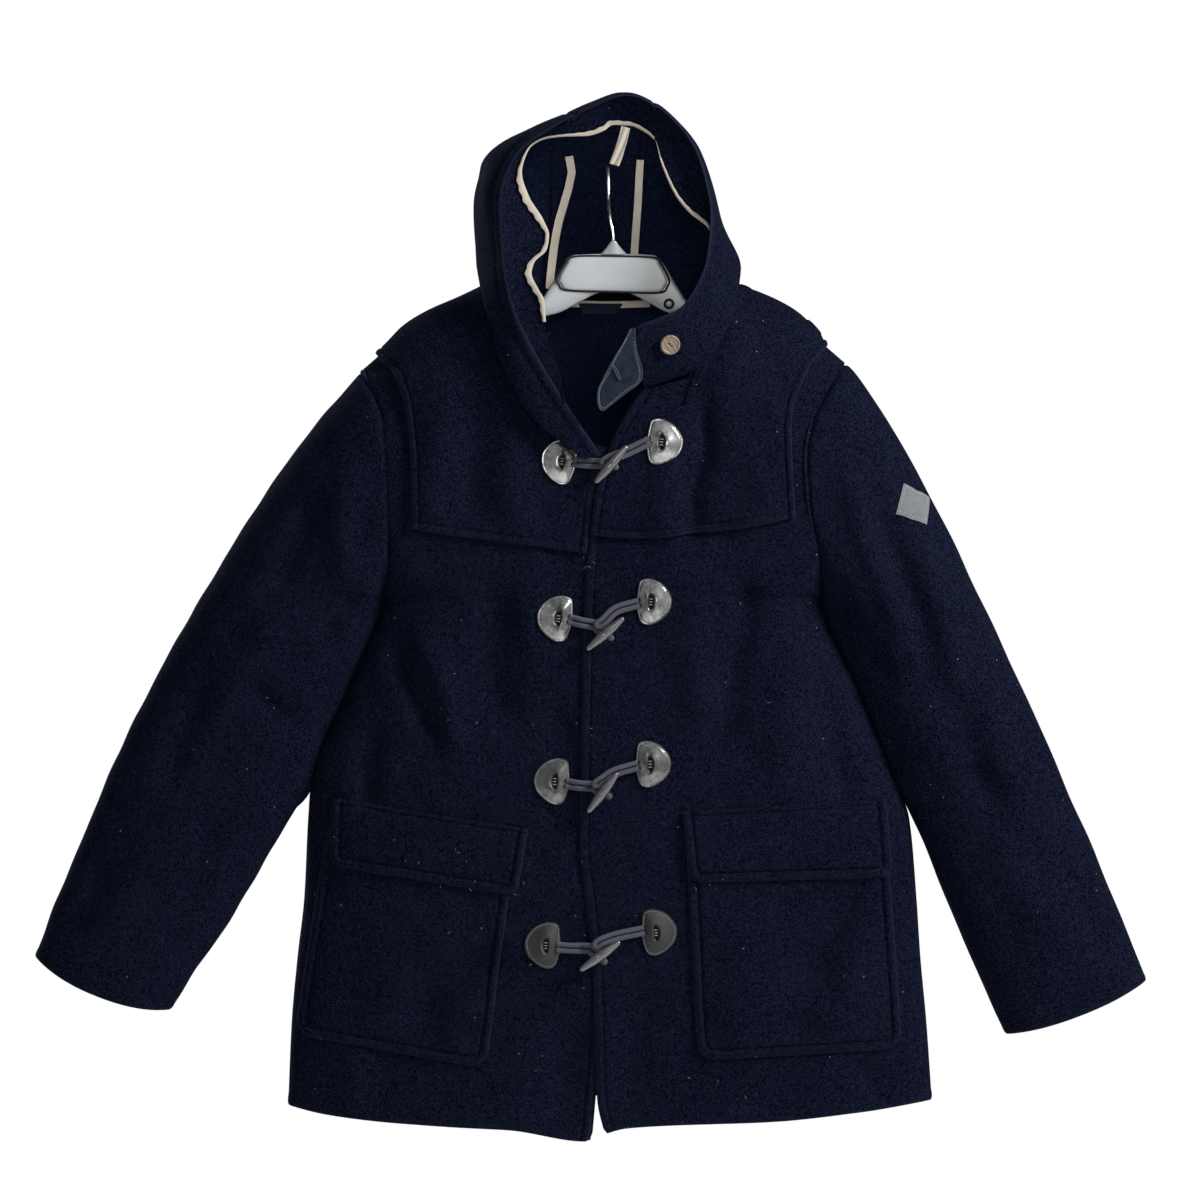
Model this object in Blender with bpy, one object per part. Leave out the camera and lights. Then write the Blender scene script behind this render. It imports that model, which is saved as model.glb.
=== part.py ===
"""Duffle coat hung on a plastic hanger, as solids at real size.

Metres, +Z up. The origin is where the hanger's hook rests on a rod or peg; the front of the
coat faces -Y and the wearer's right side is at -X. Tables give lengths in millimetres from the
origin. Cloth pieces are open surfaces worked out from those tables, with a wall laid inside them;
what lies on a panel is taken from the panel's own surface and moved out.
"""
import math

import bmesh
import bpy
import numpy as np

MM = 0.001

# Driving dimensions, metres
CLOTH = 0.0025            # melton wool wall
SEAM = 0.0003             # half the gap where two panels meet at a seam
LAY = 0.0005              # gap under a piece that lies on another
LAP = CLOTH + LAY         # how far one layer of wool lifts the next
YOKE_LIFT = CLOTH + 0.0028    # the yokes bridge the round of the shoulders
ARMHOLE_LAP = CLOTH + 0.0028  # the sleeve head laps outside the armhole
SECTION_POWER = 2.8       # 2 is an ellipse, more is flatter in front with rounder sides
SHOULDER_REACH = 0.150    # height over which the chest rounds up to the shoulder ridge
ARMHOLE_DEPTH = 0.058     # half depth of the armhole loop, front to back
SLEEVE_CLEAR = 0.0018     # gap between a sleeve's inner edge and the body's side
HOOD_LAY = 0.0016         # gap under the hood's neck edge
POCKET_SLACK = 0.0005     # how far a pocket or flap bags away from what it lies on
TAPE = 0.0010             # cotton tape and labels
TAPE_LAY = 0.0016
CORD_RADIUS = 0.0026
HANGER_THICK = 0.011
WIRE_RADIUS = 0.0015


def table(columns, *rows):
    """Named columns of a short table, millimetres in and metres out."""
    values = np.array(rows, float) * MM
    return {name: values[:, i] for i, name in enumerate(columns.split())}


# Side seams below the armpit (z -430), armhole seams above it, and the body's half depths
BODY = table(
    "z left right front back",
    (-942, -321, 323, 42, 38),
    (-855, -317, 317, 46, 42),
    (-790, -311, 311, 50, 45),
    (-730, -304, 307, 53, 48),
    (-653, -300, 300, 56, 51),
    (-607, -296, 284, 57, 52),
    (-520, -261, 249, 59, 54),
    (-430, -225, 212, 60, 55),
    (-393, -219, 210, 60, 56),
    (-337, -220, 199, 60, 56),
    (-292, -222, 196, 59, 56),
    (-256, -225, 202, 58, 56),
    (-232, -233, 214, 58, 56),
    (-214, -243, 224, 58, 56),
    (-196, -249, 236, 58, 56),
)
ARMPIT = -0.430
SHOULDER_TIP = {"left": -0.205, "right": -0.197}

# Ridge of the shoulders; between the neck points it is the height the panels would rise to
RIDGE = table(
    "x z",
    (-249, -205),
    (-234, -192),
    (-220, -179),
    (-202, -161),
    (-179, -147),
    (-147, -133),
    (-122, -121),
    (-60, -75),
    (0, -60),
    (60, -75),
    (122, -120),
    (151, -130),
    (184, -147),
    (211, -174),
    (236, -196),
)

# Hem of the two fronts and the back, one height for each x
HEM = table(
    "x front back",
    (-323, -937, -936),
    (-283, -946, -938),
    (-237, -952, -937),
    (-157, -958, -934),
    (-99, -961, -932),
    (-24, -972, -931),
    (-17, -968, -931),
    (-3, -964, -931),
    (17, -959, -931),
    (63, -956, -931),
    (155, -953, -932),
    (246, -944, -934),
    (323, -932, -932),
)

# Front edge of the wearer's left front, which lies on top, from hem to neck
FRONT_EDGE = table(
    "z x",
    (-970, -3),
    (-929, -12),
    (-803, -16),
    (-732, -23),
    (-678, -29),
    (-584, -28),
    (-423, -24),
    (-372, -19),
    (-326, -13),
    (-282, 0),
    (-259, 11),
    (-224, 33),
)
# Front edge of the other front, a straight line that runs in under the first
UNDER_EDGE = table("z x", (-971, -19), (-303, 39))

# Neckline of each front from the shoulder ridge to the front edge
NECK_LEFT = table(
    "x z",
    (-122, -121),
    (-116, -148),
    (-102, -195),
    (-78, -230),
    (-49, -255),
    (-10, -281),
    (39, -303),
)
NECK_RIGHT = table(
    "x z",
    (122, -120),
    (117, -148),
    (105, -190),
    (92, -207),
    (55, -219),
    (33, -224),
)
BACK_NECK = table("x z", (-122, -121), (-80, -127), (0, -131), (80, -127), (122, -120))

# Lower edge and armhole-side edge of the shoulder yokes
YOKE_LOWER_LEFT = table("x z", (-196, -362), (-158, -369), (-94, -377), (-22, -387))
YOKE_LOWER_RIGHT = table("x z", (185, -351), (161, -356), (123, -363), (21, -372), (-18, -369))
YOKE_SIDE_LEFT = table(
    "z x", (-362, -196), (-300, -197), (-247, -202), (-215, -211), (-200, -222), (-189, -231)
)
YOKE_SIDE_RIGHT = table(
    "z x", (-351, 185), (-262, 181), (-237, 184), (-219, 191), (-199, 201), (-181, 216)
)
YOKE_BACK_LOWER = -0.365

# Largest folds: a soft ridge (lift above 0) or trough (below 0) along a straight run
FOLDS = table(
    "x0 z0 x1 z1 width lift",
    (96, -249, 80, -353, 44, -3),
    (136, -425, 111, -560, 34, -4),
    (-209, -470, -170, -575, 28, -4),
)
BACK_FOLDS = table(
    "x0 z0 x1 z1 width lift",
    (-120, -400, -150, -930, 38, -6),
    (105, -430, 140, -930, 34, -5),
    (-10, -520, 15, -930, 46, 5),
)

# Sleeve rings from armhole to cuff: outer edge, inner edge, half depth, and how far the ring's
# front and back bow towards the cuff
SLEEVE_LEFT = table(
    "ox oz ix iz depth front_bow back_bow",
    (-249, -206, -226, -432, 61, -16, -16),
    (-267, -226, -232, -446, 59, -9, -9),
    (-283, -244, -239, -464, 56, -4, -4),
    (-319, -291, -252, -497, 52, 0, 0),
    (-363, -355, -267, -534, 48, 2, 1),
    (-401, -419, -284, -575, 45, 3, 1),
    (-439, -483, -298, -613, 42, 4, 0),
    (-472, -547, -323, -659, 39, 6, -2),
    (-502, -611, -351, -707, 36, 8, -3),
    (-529, -675, -380, -755, 34, 10, -4),
    (-555, -739, -413, -803, 31, 12, -5),
    (-574, -789, -438, -843, 29, 13, -6),
)
SLEEVE_RIGHT = table(
    "ox oz ix iz depth front_bow back_bow",
    (237, -198, 213, -432, 61, -22, -18),
    (250, -210, 221, -448, 59, -13, -11),
    (272, -243, 229, -465, 56, -6, -5),
    (300, -291, 241, -497, 52, -1, -1),
    (334, -355, 257, -535, 48, 2, 1),
    (365, -419, 274, -577, 45, 3, 1),
    (395, -483, 292, -624, 42, 4, 0),
    (425, -547, 311, -668, 39, 5, -1),
    (453, -611, 330, -715, 36, 6, -2),
    (481, -675, 350, -763, 34, 7, -3),
    (508, -739, 372, -815, 31, 8, -4),
    (537, -813, 397, -867, 29, 8, -5),
)
SLEEVE_POWER = 2.3
ARMHOLE_BLEND = 0.28              # share of the sleeve over which it takes the armhole's shape
SLEEVE_FREE = -0.64               # below this height the sleeve hangs clear of the body

# Hood stations from the wearer's right end of the rim, over the top, to the left end. Each is
# an arch of cloth: rim, side, back, and neck, the last set on the body's own surface.
HOOD = table(
    "rim_x rim_y rim_z side_x side_y side_z back_x back_y back_z neck_x neck_z",
    (-8, -72, -289, -24, -75, -294, -34, -74, -286, -22, -274),
    (-47, -76, -231, -76, -76, -256, -80, -70, -246, -66, -238),
    (-74, -76, -186, -104, -72, -205, -106, -66, -196, -98, -200),
    (-95, -70, -142, -122, -52, -146, -124, -44, -138, -113, -152),
    (-106, -64, -92, -133, -28, -92, -132, 4, -92, -122, -121),
    (-108, -58, -40, -139, -12, -34, -130, 36, -50, -96, -125),
    (-94, -52, 6, -141, 0, 2, -112, 50, -24, -76, -127),
    (-34, -42, 50, -56, 6, 42, -48, 58, 4, -58, -129),
    (17, -38, 70, 2, 8, 60, -6, 66, 12, -16, -131),
    (46, -38, 60, 38, 8, 54, 30, 62, 6, 26, -130),
    (88, -44, 12, 92, 2, 4, 78, 52, -18, 60, -128),
    (102, -52, -50, 116, -8, -50, 108, 32, -60, 96, -125),
    (98, -62, -92, 127, -28, -96, 130, 2, -96, 119, -119),
    (72, -74, -142, 112, -64, -152, 124, -46, -142, 115, -154),
    (27, -84, -163, 62, -84, -178, 96, -69, -190, 98, -198),
    (25, -83, -172, 28, -84, -192, 32, -76, -210, 35, -223),
)
HOOD_SEAM_STATIONS = (7, 9)       # where the two long seams of the hood's centre strip run
HOOD_SEAM_GAP = 0.012             # in stations, each side of a seam
FACING_DEPTH = 0.17               # share of an arch that the facing inside the rim covers
HOOD_ROWS = np.array([0, 0.085, FACING_DEPTH, 0.28, 0.4, 0.52, 0.64, 0.76, 0.88, 1])

# Patch pockets and flaps: outline corners, top row then bottom row, outer side first
PATCHED = table(
    "top_x0 top_z0 top_x1 top_z1 low_x0 low_z0 low_x1 low_z1 corner",
    (-280, -658, -94, -687, -313, -866, -122, -899, 18),
    (276, -661, 76, -672, 292, -880, 88, -891, 18),
    (-275, -630, -80, -660, -277, -697, -91, -727, 12),
    (274, -631, 72, -643, 281, -708, 80, -714, 12),
)
PATCHED_NAMES = ("pocket_left", "pocket_right", "flap_left", "flap_right")

# Toggle fastenings from the neck down: centres of the two leather patches, ends of the toggle
FASTENINGS = table(
    "toggle_x toggle_z loop_x loop_z horn_x0 horn_z0 horn_x1 horn_z1",
    (-50, -295, 55, -277, 19, -282, -13, -317),
    (-54, -451, 45, -435, 15, -451, -21, -481),
    (-57, -613, 44, -596, 9, -604, -21, -642),
    (-66, -776, 50, -763, 11, -772, -28, -799),
)
PATCH_WIDTH = 0.035
PATCH_HEIGHT = 0.046
PATCH_RISE = 0.005
PATCH_WALL = 0.0014
CORD_SPREAD = 0.0032      # half the distance between the two strands of a cord
HORN_RADIUS = 0.0052

# Throat tab outline, and the piece of button beside it
TAB = table("left_x left_z right_x right_z y", (20, -166, 28, -166, -86.4), (3, -197, 30, -194, -88),
            (-10, -222, 33, -212, -89), (-9, -244, 8, -236, -87))
BUTTON_RADIUS = 0.010
BUTTON_THICK = 0.0042
BUTTON_X, BUTTON_Z = 0.060, -0.180
BADGE = table("x z", (293, -318), (320, -332), (316, -359), (285, -348))

# Hanger: outline of the raised middle and of the arms, symmetric about its own middle
HANGER_MIDDLE = 0.0045
HANGER_TOP = table("x z", (0, -88), (40, -89), (50, -98), (62, -119), (78, -140), (120, -146))
HANGER_BOTTOM = table("x z", (0, -125), (16, -127), (55, -148), (120, -163), (196, -184))
HANGER_REACH = 0.196
HANGER_SEAT = 0.0026      # how far the arms' round top lies under the wool
HOOK_LOOP = 0.021

# Triangles are spent where the form turns
PANEL_ROWS = 18
SLEEVE_SIDES = 20
NECK_SHARE = 0.45         # share of a panel's columns that end on the shoulder
NECK_CROWD = 1.6          # how much the columns crowd towards the neck point
EDGE_CROWD = 2.3          # how much the columns crowd towards a side seam
TOP_CROWD = 2.1           # how much the rows crowd towards the shoulder

WOOL = ("wool", (0.012, 0.016, 0.035), 0.95, 0.0)
TWILL = ("tape", (0.72, 0.64, 0.48), 0.85, 0.0)
CHAMBRAY = ("chambray", (0.06, 0.14, 0.19), 0.85, 0.0)
LEATHER = ("leather", (0.02, 0.022, 0.028), 0.32, 0.0)
CORD = ("cord", (0.07, 0.065, 0.09), 0.8, 0.0)
HORN = ("horn", (0.06, 0.06, 0.062), 0.4, 0.0)
WOOD = ("button_wood", (0.55, 0.38, 0.2), 0.6, 0.0)
PLASTIC = ("hanger_plastic", (0.52, 0.54, 0.57), 0.45, 0.0)
WIRE_FINISH = ("wire", (0.6, 0.6, 0.62), 0.3, 1.0)
LABEL = ("label", (0.03, 0.05, 0.13), 0.8, 0.0)
BADGE_CLOTH = ("badge", (0.6, 0.6, 0.6), 0.85, 0.0)


# Objects and materials

def clear_scene():
    for item in list(bpy.data.objects):
        bpy.data.objects.remove(item, do_unlink=True)


def material(finish):
    name, colour, roughness, metallic = finish
    found = bpy.data.materials.get(name)
    if found is None:
        found = bpy.data.materials.new(name)
        found.use_nodes = True
        shader = found.node_tree.nodes["Principled BSDF"]
        shader.inputs["Base Color"].default_value = (*colour, 1.0)
        shader.inputs["Roughness"].default_value = roughness
        shader.inputs["Metallic"].default_value = metallic
    return found


def add_object(name, data, finish):
    item = bpy.data.objects.new(name, data)
    data.materials.append(material(finish))
    bpy.data.collections["duffle_coat"].objects.link(item)
    return item


def mesh_from_bmesh(name, bm):
    mesh = bpy.data.meshes.new(name)
    bm.to_mesh(mesh)
    bm.free()
    mesh.shade_smooth()
    mesh.set_sharp_from_angle(angle=math.radians(50))
    return mesh


def sheet(name, points, finish, wall=CLOTH, tube=False, flip=False, seam_side=0):
    """A wall of cloth whose outer face is a grid of points (rows, columns, 3). A panel with a
    seam_side of -1 or 1 ends on that side of the plane of the side seams."""
    rows, columns = points.shape[:2]
    bm = bmesh.new()
    verts = [[bm.verts.new(p) for p in row] for row in points]
    for j in range(rows - 1):
        for i in range(columns if tube else columns - 1):
            k = (i + 1) % columns
            corners = [verts[j][i], verts[j][k], verts[j + 1][k], verts[j + 1][i]]
            bm.faces.new(corners[::-1] if flip else corners)
    bm.normal_update()
    outer = bm.faces[:]
    inner = {vert: bm.verts.new(vert.co - vert.normal * wall) for vert in bm.verts[:]}
    rim = [edge for edge in bm.edges if edge.is_boundary]
    for face in outer:
        bm.faces.new([inner[vert] for vert in reversed(face.verts[:])])
    for edge in rim:
        start, end = (loop.vert for loop in (edge.link_loops[0], edge.link_loops[0].link_loop_next))
        bm.faces.new([end, start, inner[start], inner[end]])
    for vert in bm.verts:
        if seam_side * vert.co.y < abs(seam_side) * SEAM:
            vert.co.y = seam_side * SEAM
    return add_object(name, mesh_from_bmesh(name, bm), finish)


# Curves through tables

def smooth(value, xs, ys):
    """Cubic through the table's points that never overshoots them."""
    xs, ys = np.asarray(xs, float), np.asarray(ys, float)
    if xs[0] > xs[-1]:
        xs, ys = xs[::-1], ys[::-1]
    step = np.diff(xs)
    slope = np.diff(ys) / step
    tangent = np.concatenate(([slope[0]], np.zeros(len(xs) - 2), [slope[-1]]))
    for i in range(1, len(xs) - 1):
        if slope[i - 1] * slope[i] > 0:
            tangent[i] = 2 * slope[i - 1] * slope[i] / (slope[i - 1] + slope[i])
    value = np.clip(value, xs[0], xs[-1])
    i = np.clip(np.searchsorted(xs, value) - 1, 0, len(step) - 1)
    t = (value - xs[i]) / step[i]
    return ((2 * t**3 - 3 * t**2 + 1) * ys[i] + (t**3 - 2 * t**2 + t) * step[i] * tangent[i]
            + (3 * t**2 - 2 * t**3) * ys[i + 1] + (t**3 - t**2) * step[i] * tangent[i + 1])


def along(share, *columns):
    """Points at shares of the way along a polyline's length, as a smooth curve."""
    points = np.stack(columns, axis=-1)
    reach = np.concatenate(([0], np.cumsum(np.linalg.norm(np.diff(points, axis=0), axis=1))))
    return np.stack([smooth(np.asarray(share) * reach[-1], reach, c) for c in columns], axis=-1)


def crowd(count, power):
    """Shares from 0 to 1 that crowd towards 0."""
    return (np.arange(count + 1) / count) ** power


def panel_columns(outer, inner, power):
    """Shares across a panel that crowd towards its side and, past it, the neck point."""
    return np.concatenate([NECK_SHARE * crowd(outer, power),
                           NECK_SHARE + (1 - NECK_SHARE) * crowd(inner, NECK_CROWD)[1:]])


# The body's surface

def half_width(z, side):
    return smooth(z, BODY["z"], BODY[side])


def fold_lift(x, z, folds):
    lift = np.zeros(np.broadcast(x, z).shape)
    for x0, z0, x1, z1, width, height in zip(*folds.values()):
        run = np.array([x1 - x0, z1 - z0])
        length = np.linalg.norm(run)
        run = run / length
        ahead = ((x - x0) * run[0] + (z - z0) * run[1]) / length
        aside = (x - x0) * run[1] - (z - z0) * run[0]
        fade = np.clip(np.minimum(ahead, 1 - ahead) * 3.0 + 0.35, 0, 1)
        lift = lift + height * np.exp(-(aside / (0.5 * width)) ** 2) * fade**2 * (3 - 2 * fade)
    return lift


def body_depth(x, z, face, under=0.0):
    """How far the front or back surface lies from the plane of the side seams."""
    x, z = np.broadcast_arrays(np.asarray(x, float), np.asarray(z, float))
    depth = smooth(z, BODY["z"], BODY[face]) - under
    drop = np.clip((smooth(x, RIDGE["x"], RIDGE["z"]) - z) / SHOULDER_REACH, 0, 1)
    depth = depth * np.sin(0.5 * np.pi * np.sqrt(drop))
    result = np.zeros(x.shape)
    for side, sign in (("left", -1), ("right", 1)):
        across = np.clip(x / half_width(z, side), 0, 1)
        tip = SHOULDER_TIP[side]
        level = np.clip((z - 0.5 * (ARMPIT + tip)) / (0.5 * (tip - ARMPIT)), -1, 1)
        rim = np.minimum((ARMHOLE_DEPTH - under) * np.sqrt(1 - level**2), depth)
        swell = (1 - across**SECTION_POWER) ** (1 / SECTION_POWER)
        result = np.where(x * sign >= 0, rim + (depth - rim) * swell, result)
        folds = FOLDS if face == "front" else BACK_FOLDS
        inside = np.clip((1 - across) / 0.25, 0, 1)
        result = result + np.where(x * sign >= 0, fold_lift(x, z, folds) * inside * (drop > 0), 0)
    return result


def on_body(x, z, face, lift=0.0, under=0.0):
    """Points of the body's surface at x and z, moved out along its normal by lift."""
    sign = -1 if face == "front" else 1
    x, z = np.broadcast_arrays(np.asarray(x, float), np.asarray(z, float))
    y = sign * (body_depth(x, z, face, under) + SEAM)
    points = np.stack([x, y, z], axis=-1)
    if np.all(np.asarray(lift) == 0):
        return points
    step = 0.002
    slope_x = (body_depth(x + step, z, face, under) - body_depth(x - step, z, face, under))
    slope_z = (body_depth(x, z + step, face, under) - body_depth(x, z - step, face, under))
    normal = np.stack([-slope_x, np.full(x.shape, 2 * step * sign), -slope_z], axis=-1)
    normal = normal / np.linalg.norm(normal, axis=-1, keepdims=True)
    return points + normal * np.asarray(lift)[..., None]


def patchwork(bottom, top, first, last, shares_u, shares_v):
    """Flat grid (x, z) spanned between four edge curves that share their corners."""
    u = shares_u[None, :, None]
    v = shares_v[:, None, None]
    edges = (1 - v) * bottom[None] + v * top[None] + (1 - u) * first[:, None] + u * last[:, None]
    corners = ((1 - u) * (1 - v) * bottom[0] + u * (1 - v) * bottom[-1]
               + (1 - u) * v * top[0] + u * v * top[-1])
    return edges - corners


def side_edge(shares, side, hem_z):
    """Side seam from hem to armpit, then the armhole up to the shoulder tip."""
    armpit_share = 0.64
    below = hem_z + (ARMPIT - hem_z) * np.clip(shares / armpit_share, 0, 1)
    tip = SHOULDER_TIP[side]
    turn = np.clip((shares - armpit_share) / (1 - armpit_share), 0, 1)
    above = 0.5 * (ARMPIT + tip) - 0.5 * (tip - ARMPIT) * np.cos(np.pi * turn)
    z = np.where(shares < armpit_share, below, above)
    return np.stack([half_width(z, side), z], axis=-1)


def shoulder_line(side):
    """Ridge points from the shoulder tip to the neck."""
    keep = RIDGE["x"] <= -0.12 if side == "left" else RIDGE["x"] >= 0.12
    x, z = RIDGE["x"][keep], RIDGE["z"][keep]
    return (x, z) if side == "left" else (x[::-1], z[::-1])


def top_edge(shares, side, neck, shoulder_share):
    """Shoulder ridge, then the neckline."""
    ridge = along(np.clip(shares / shoulder_share, 0, 1), *shoulder_line(side))
    collar = along(np.clip((shares - shoulder_share) / (1 - shoulder_share), 0, 1),
                   neck["x"], neck["z"])
    return np.where((shares < shoulder_share)[:, None], ridge, collar)


# Coat pieces

def front_panel(side):
    u = panel_columns(8, 8, EDGE_CROWD)
    v = 1 - crowd(PANEL_ROWS, TOP_CROWD)[::-1]
    edge, neck = (UNDER_EDGE, NECK_LEFT) if side == "left" else (FRONT_EDGE, NECK_RIGHT)
    top = top_edge(u, side, neck, NECK_SHARE)
    hem_x = half_width(-0.94, side) * (1 - u) + edge["x"][0] * u
    hem = np.stack([hem_x, smooth(hem_x, HEM["x"], HEM["front"])], axis=-1)
    last_z = hem[-1, 1] * (1 - v) + top[-1, 1] * v
    last = np.stack([smooth(last_z, edge["z"], edge["x"]), last_z], axis=-1)
    first = side_edge(v, side, hem[0, 1])
    hem[0], hem[-1], top[0], top[-1] = first[0], last[0], first[-1], last[-1]
    grid = patchwork(hem, top, first, last, u, v)
    under = LAP if side == "left" else 0.0
    points = on_body(grid[..., 0], grid[..., 1], "front", under=under)
    sheet("front_" + side, points, WOOL, flip=side == "right", seam_side=-1)


def back_panel():
    half = panel_columns(7, 6, EDGE_CROWD)
    v = 1 - crowd(PANEL_ROWS, TOP_CROWD)[::-1]
    halves = []
    for side in ("left", "right"):
        keep = BACK_NECK["x"] <= 0 if side == "left" else BACK_NECK["x"] >= 0
        order = slice(None) if side == "left" else slice(None, None, -1)
        neck = {name: column[keep][order] for name, column in BACK_NECK.items()}
        top = top_edge(half, side, neck, NECK_SHARE)
        hem_x = half_width(-0.94, side) * (1 - half)
        hem = np.stack([hem_x, smooth(hem_x, HEM["x"], HEM["back"])], axis=-1)
        last = np.stack([0 * v, hem[-1, 1] * (1 - v) + top[-1, 1] * v], axis=-1)
        first = side_edge(v, side, hem[0, 1])
        hem[0], top[0] = first[0], first[-1]
        grid = patchwork(hem, top, first, last, half, v)
        points = on_body(grid[..., 0], grid[..., 1], "back")
        halves.append(points)
    points = np.concatenate([halves[0], halves[1][:, -2::-1]], axis=1)
    sheet("back", points, WOOL, flip=True, seam_side=1)


def front_yoke(side):
    u = panel_columns(6, 8, 1.2)
    v = 1 - crowd(12, TOP_CROWD)[::-1]
    lower, outer, neck, under, back_off = YOKE_LOWER_LEFT, YOKE_SIDE_LEFT, NECK_LEFT, LAP, 0.0015
    if side == "right":
        lower, outer, neck, under, back_off = YOKE_LOWER_RIGHT, YOKE_SIDE_RIGHT, NECK_RIGHT, 0, 0
    first = along(v, outer["x"], outer["z"])
    ridge_x, ridge_z = shoulder_line(side)
    keep = np.abs(ridge_x) < abs(first[-1, 0])
    ridge_x = np.concatenate(([first[-1, 0]], ridge_x[keep]))
    ridge_z = np.concatenate(([first[-1, 1]], ridge_z[keep]))
    ridge = along(np.clip(u / NECK_SHARE, 0, 1), ridge_x, ridge_z)
    ends = neck["x"] > -1 if side == "right" else neck["x"] < 0
    collar = along(np.clip((u - NECK_SHARE) / (1 - NECK_SHARE), 0, 1),
                   neck["x"][ends], neck["z"][ends])
    top = np.where((u < NECK_SHARE)[:, None], ridge, collar)
    bottom = along(u, lower["x"], lower["z"])
    last_z = bottom[-1, 1] * (1 - v) + top[-1, 1] * v
    last_x = smooth(last_z, FRONT_EDGE["z"], FRONT_EDGE["x"]) - back_off
    last = np.stack([last_x, last_z], axis=-1)
    bottom[0], bottom[-1], top[0], top[-1] = first[0], last[0], first[-1], last[-1]
    grid = patchwork(bottom, top, first, last, u, v)
    points = on_body(grid[..., 0], grid[..., 1], "front", YOKE_LIFT, under)
    sheet("yoke_front_" + side, points, WOOL, flip=side == "right", seam_side=-1)


def back_yoke():
    half = panel_columns(5, 5, 1.2)
    v = 1 - crowd(9, TOP_CROWD)[::-1]
    halves = []
    for side in ("left", "right"):
        outer = YOKE_SIDE_LEFT if side == "left" else YOKE_SIDE_RIGHT
        keep = BACK_NECK["x"] <= 0 if side == "left" else BACK_NECK["x"] >= 0
        order = slice(None) if side == "left" else slice(None, None, -1)
        first = along(v, outer["x"], outer["z"])
        ridge_x, ridge_z = shoulder_line(side)
        near = np.abs(ridge_x) < abs(first[-1, 0])
        ridge_x = np.concatenate(([first[-1, 0]], ridge_x[near]))
        ridge_z = np.concatenate(([first[-1, 1]], ridge_z[near]))
        ridge = along(np.clip(half / NECK_SHARE, 0, 1), ridge_x, ridge_z)
        collar = along(np.clip((half - NECK_SHARE) / (1 - NECK_SHARE), 0, 1),
                       BACK_NECK["x"][keep][order], BACK_NECK["z"][keep][order])
        top = np.where((half < NECK_SHARE)[:, None], ridge, collar)
        bottom = np.stack([first[0, 0] * (1 - half), 0 * half + YOKE_BACK_LOWER], axis=-1)
        first[:, 1] += (YOKE_BACK_LOWER - first[0, 1]) * (1 - v)
        last = np.stack([0 * v, YOKE_BACK_LOWER * (1 - v) + top[-1, 1] * v], axis=-1)
        bottom[0], top[0] = first[0], first[-1]
        grid = patchwork(bottom, top, first, last, half, v)
        points = on_body(grid[..., 0], grid[..., 1], "back", YOKE_LIFT)
        halves.append(points)
    points = np.concatenate([halves[0], halves[1][:, -2::-1]], axis=1)
    sheet("yoke_back", points, WOOL, flip=True, seam_side=1)


def sleeve_point(side, ring, angle, lift=0.0):
    """Sleeve surface: ring runs 0 to 1 from armhole to cuff, angle 0 at the outer edge, front
    at a quarter turn."""
    rings = SLEEVE_LEFT if side == "left" else SLEEVE_RIGHT
    steps = np.arange(len(rings["ox"])) / (len(rings["ox"]) - 1)
    row = {name: smooth(ring, steps, column) for name, column in rings.items()}
    power = 2 / SLEEVE_POWER
    cos, sin = np.cos(angle), np.sin(angle)
    fore = np.sign(cos) * np.abs(cos) ** power
    rise = np.sign(sin) * np.abs(sin) ** power
    half_x, half_z = 0.5 * (row["ox"] - row["ix"]), 0.5 * (row["oz"] - row["iz"])
    half = np.hypot(half_x, half_z)
    sign = -1 if side == "left" else 1
    axis_x, axis_z = sign * half_z / half, -sign * half_x / half
    bow = np.where(sin > 0, row["front_bow"], row["back_bow"]) * sin**2
    grow = 1 + lift / half
    x = 0.5 * (row["ox"] + row["ix"]) + half_x * grow * fore + axis_x * bow
    z = 0.5 * (row["oz"] + row["iz"]) + half_z * grow * fore + axis_z * bow
    y = -(row["depth"] + lift) * rise
    tip = SHOULDER_TIP[side]
    hole_z = 0.5 * (tip + ARMPIT) + (0.5 * (tip - ARMPIT) + ARMHOLE_LAP + lift) * cos
    hole_x = half_width(hole_z, side) + sign * SLEEVE_CLEAR
    hole_y = -(ARMHOLE_DEPTH + ARMHOLE_LAP + lift) * sin
    share = np.clip(1 - ring / ARMHOLE_BLEND, 0, 1) ** 2
    x, y, z = (own + (hole - own) * share for own, hole in ((x, hole_x), (y, hole_y), (z, hole_z)))
    clear = half_width(z, side) + sign * SLEEVE_CLEAR
    near = z > SLEEVE_FREE
    x = np.where(near & (sign * x < sign * clear), clear, x)
    return np.stack(np.broadcast_arrays(x, y, z), axis=-1)


def sleeve(side):
    angle = np.arange(SLEEVE_SIDES)[None, :] * 2 * np.pi / SLEEVE_SIDES
    rows = len(SLEEVE_LEFT["ox"])
    ring = (np.arange(rows) / (rows - 1))[:, None]
    sheet("sleeve_" + side, sleeve_point(side, ring, angle), WOOL, tube=True, flip=side == "left")


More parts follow.
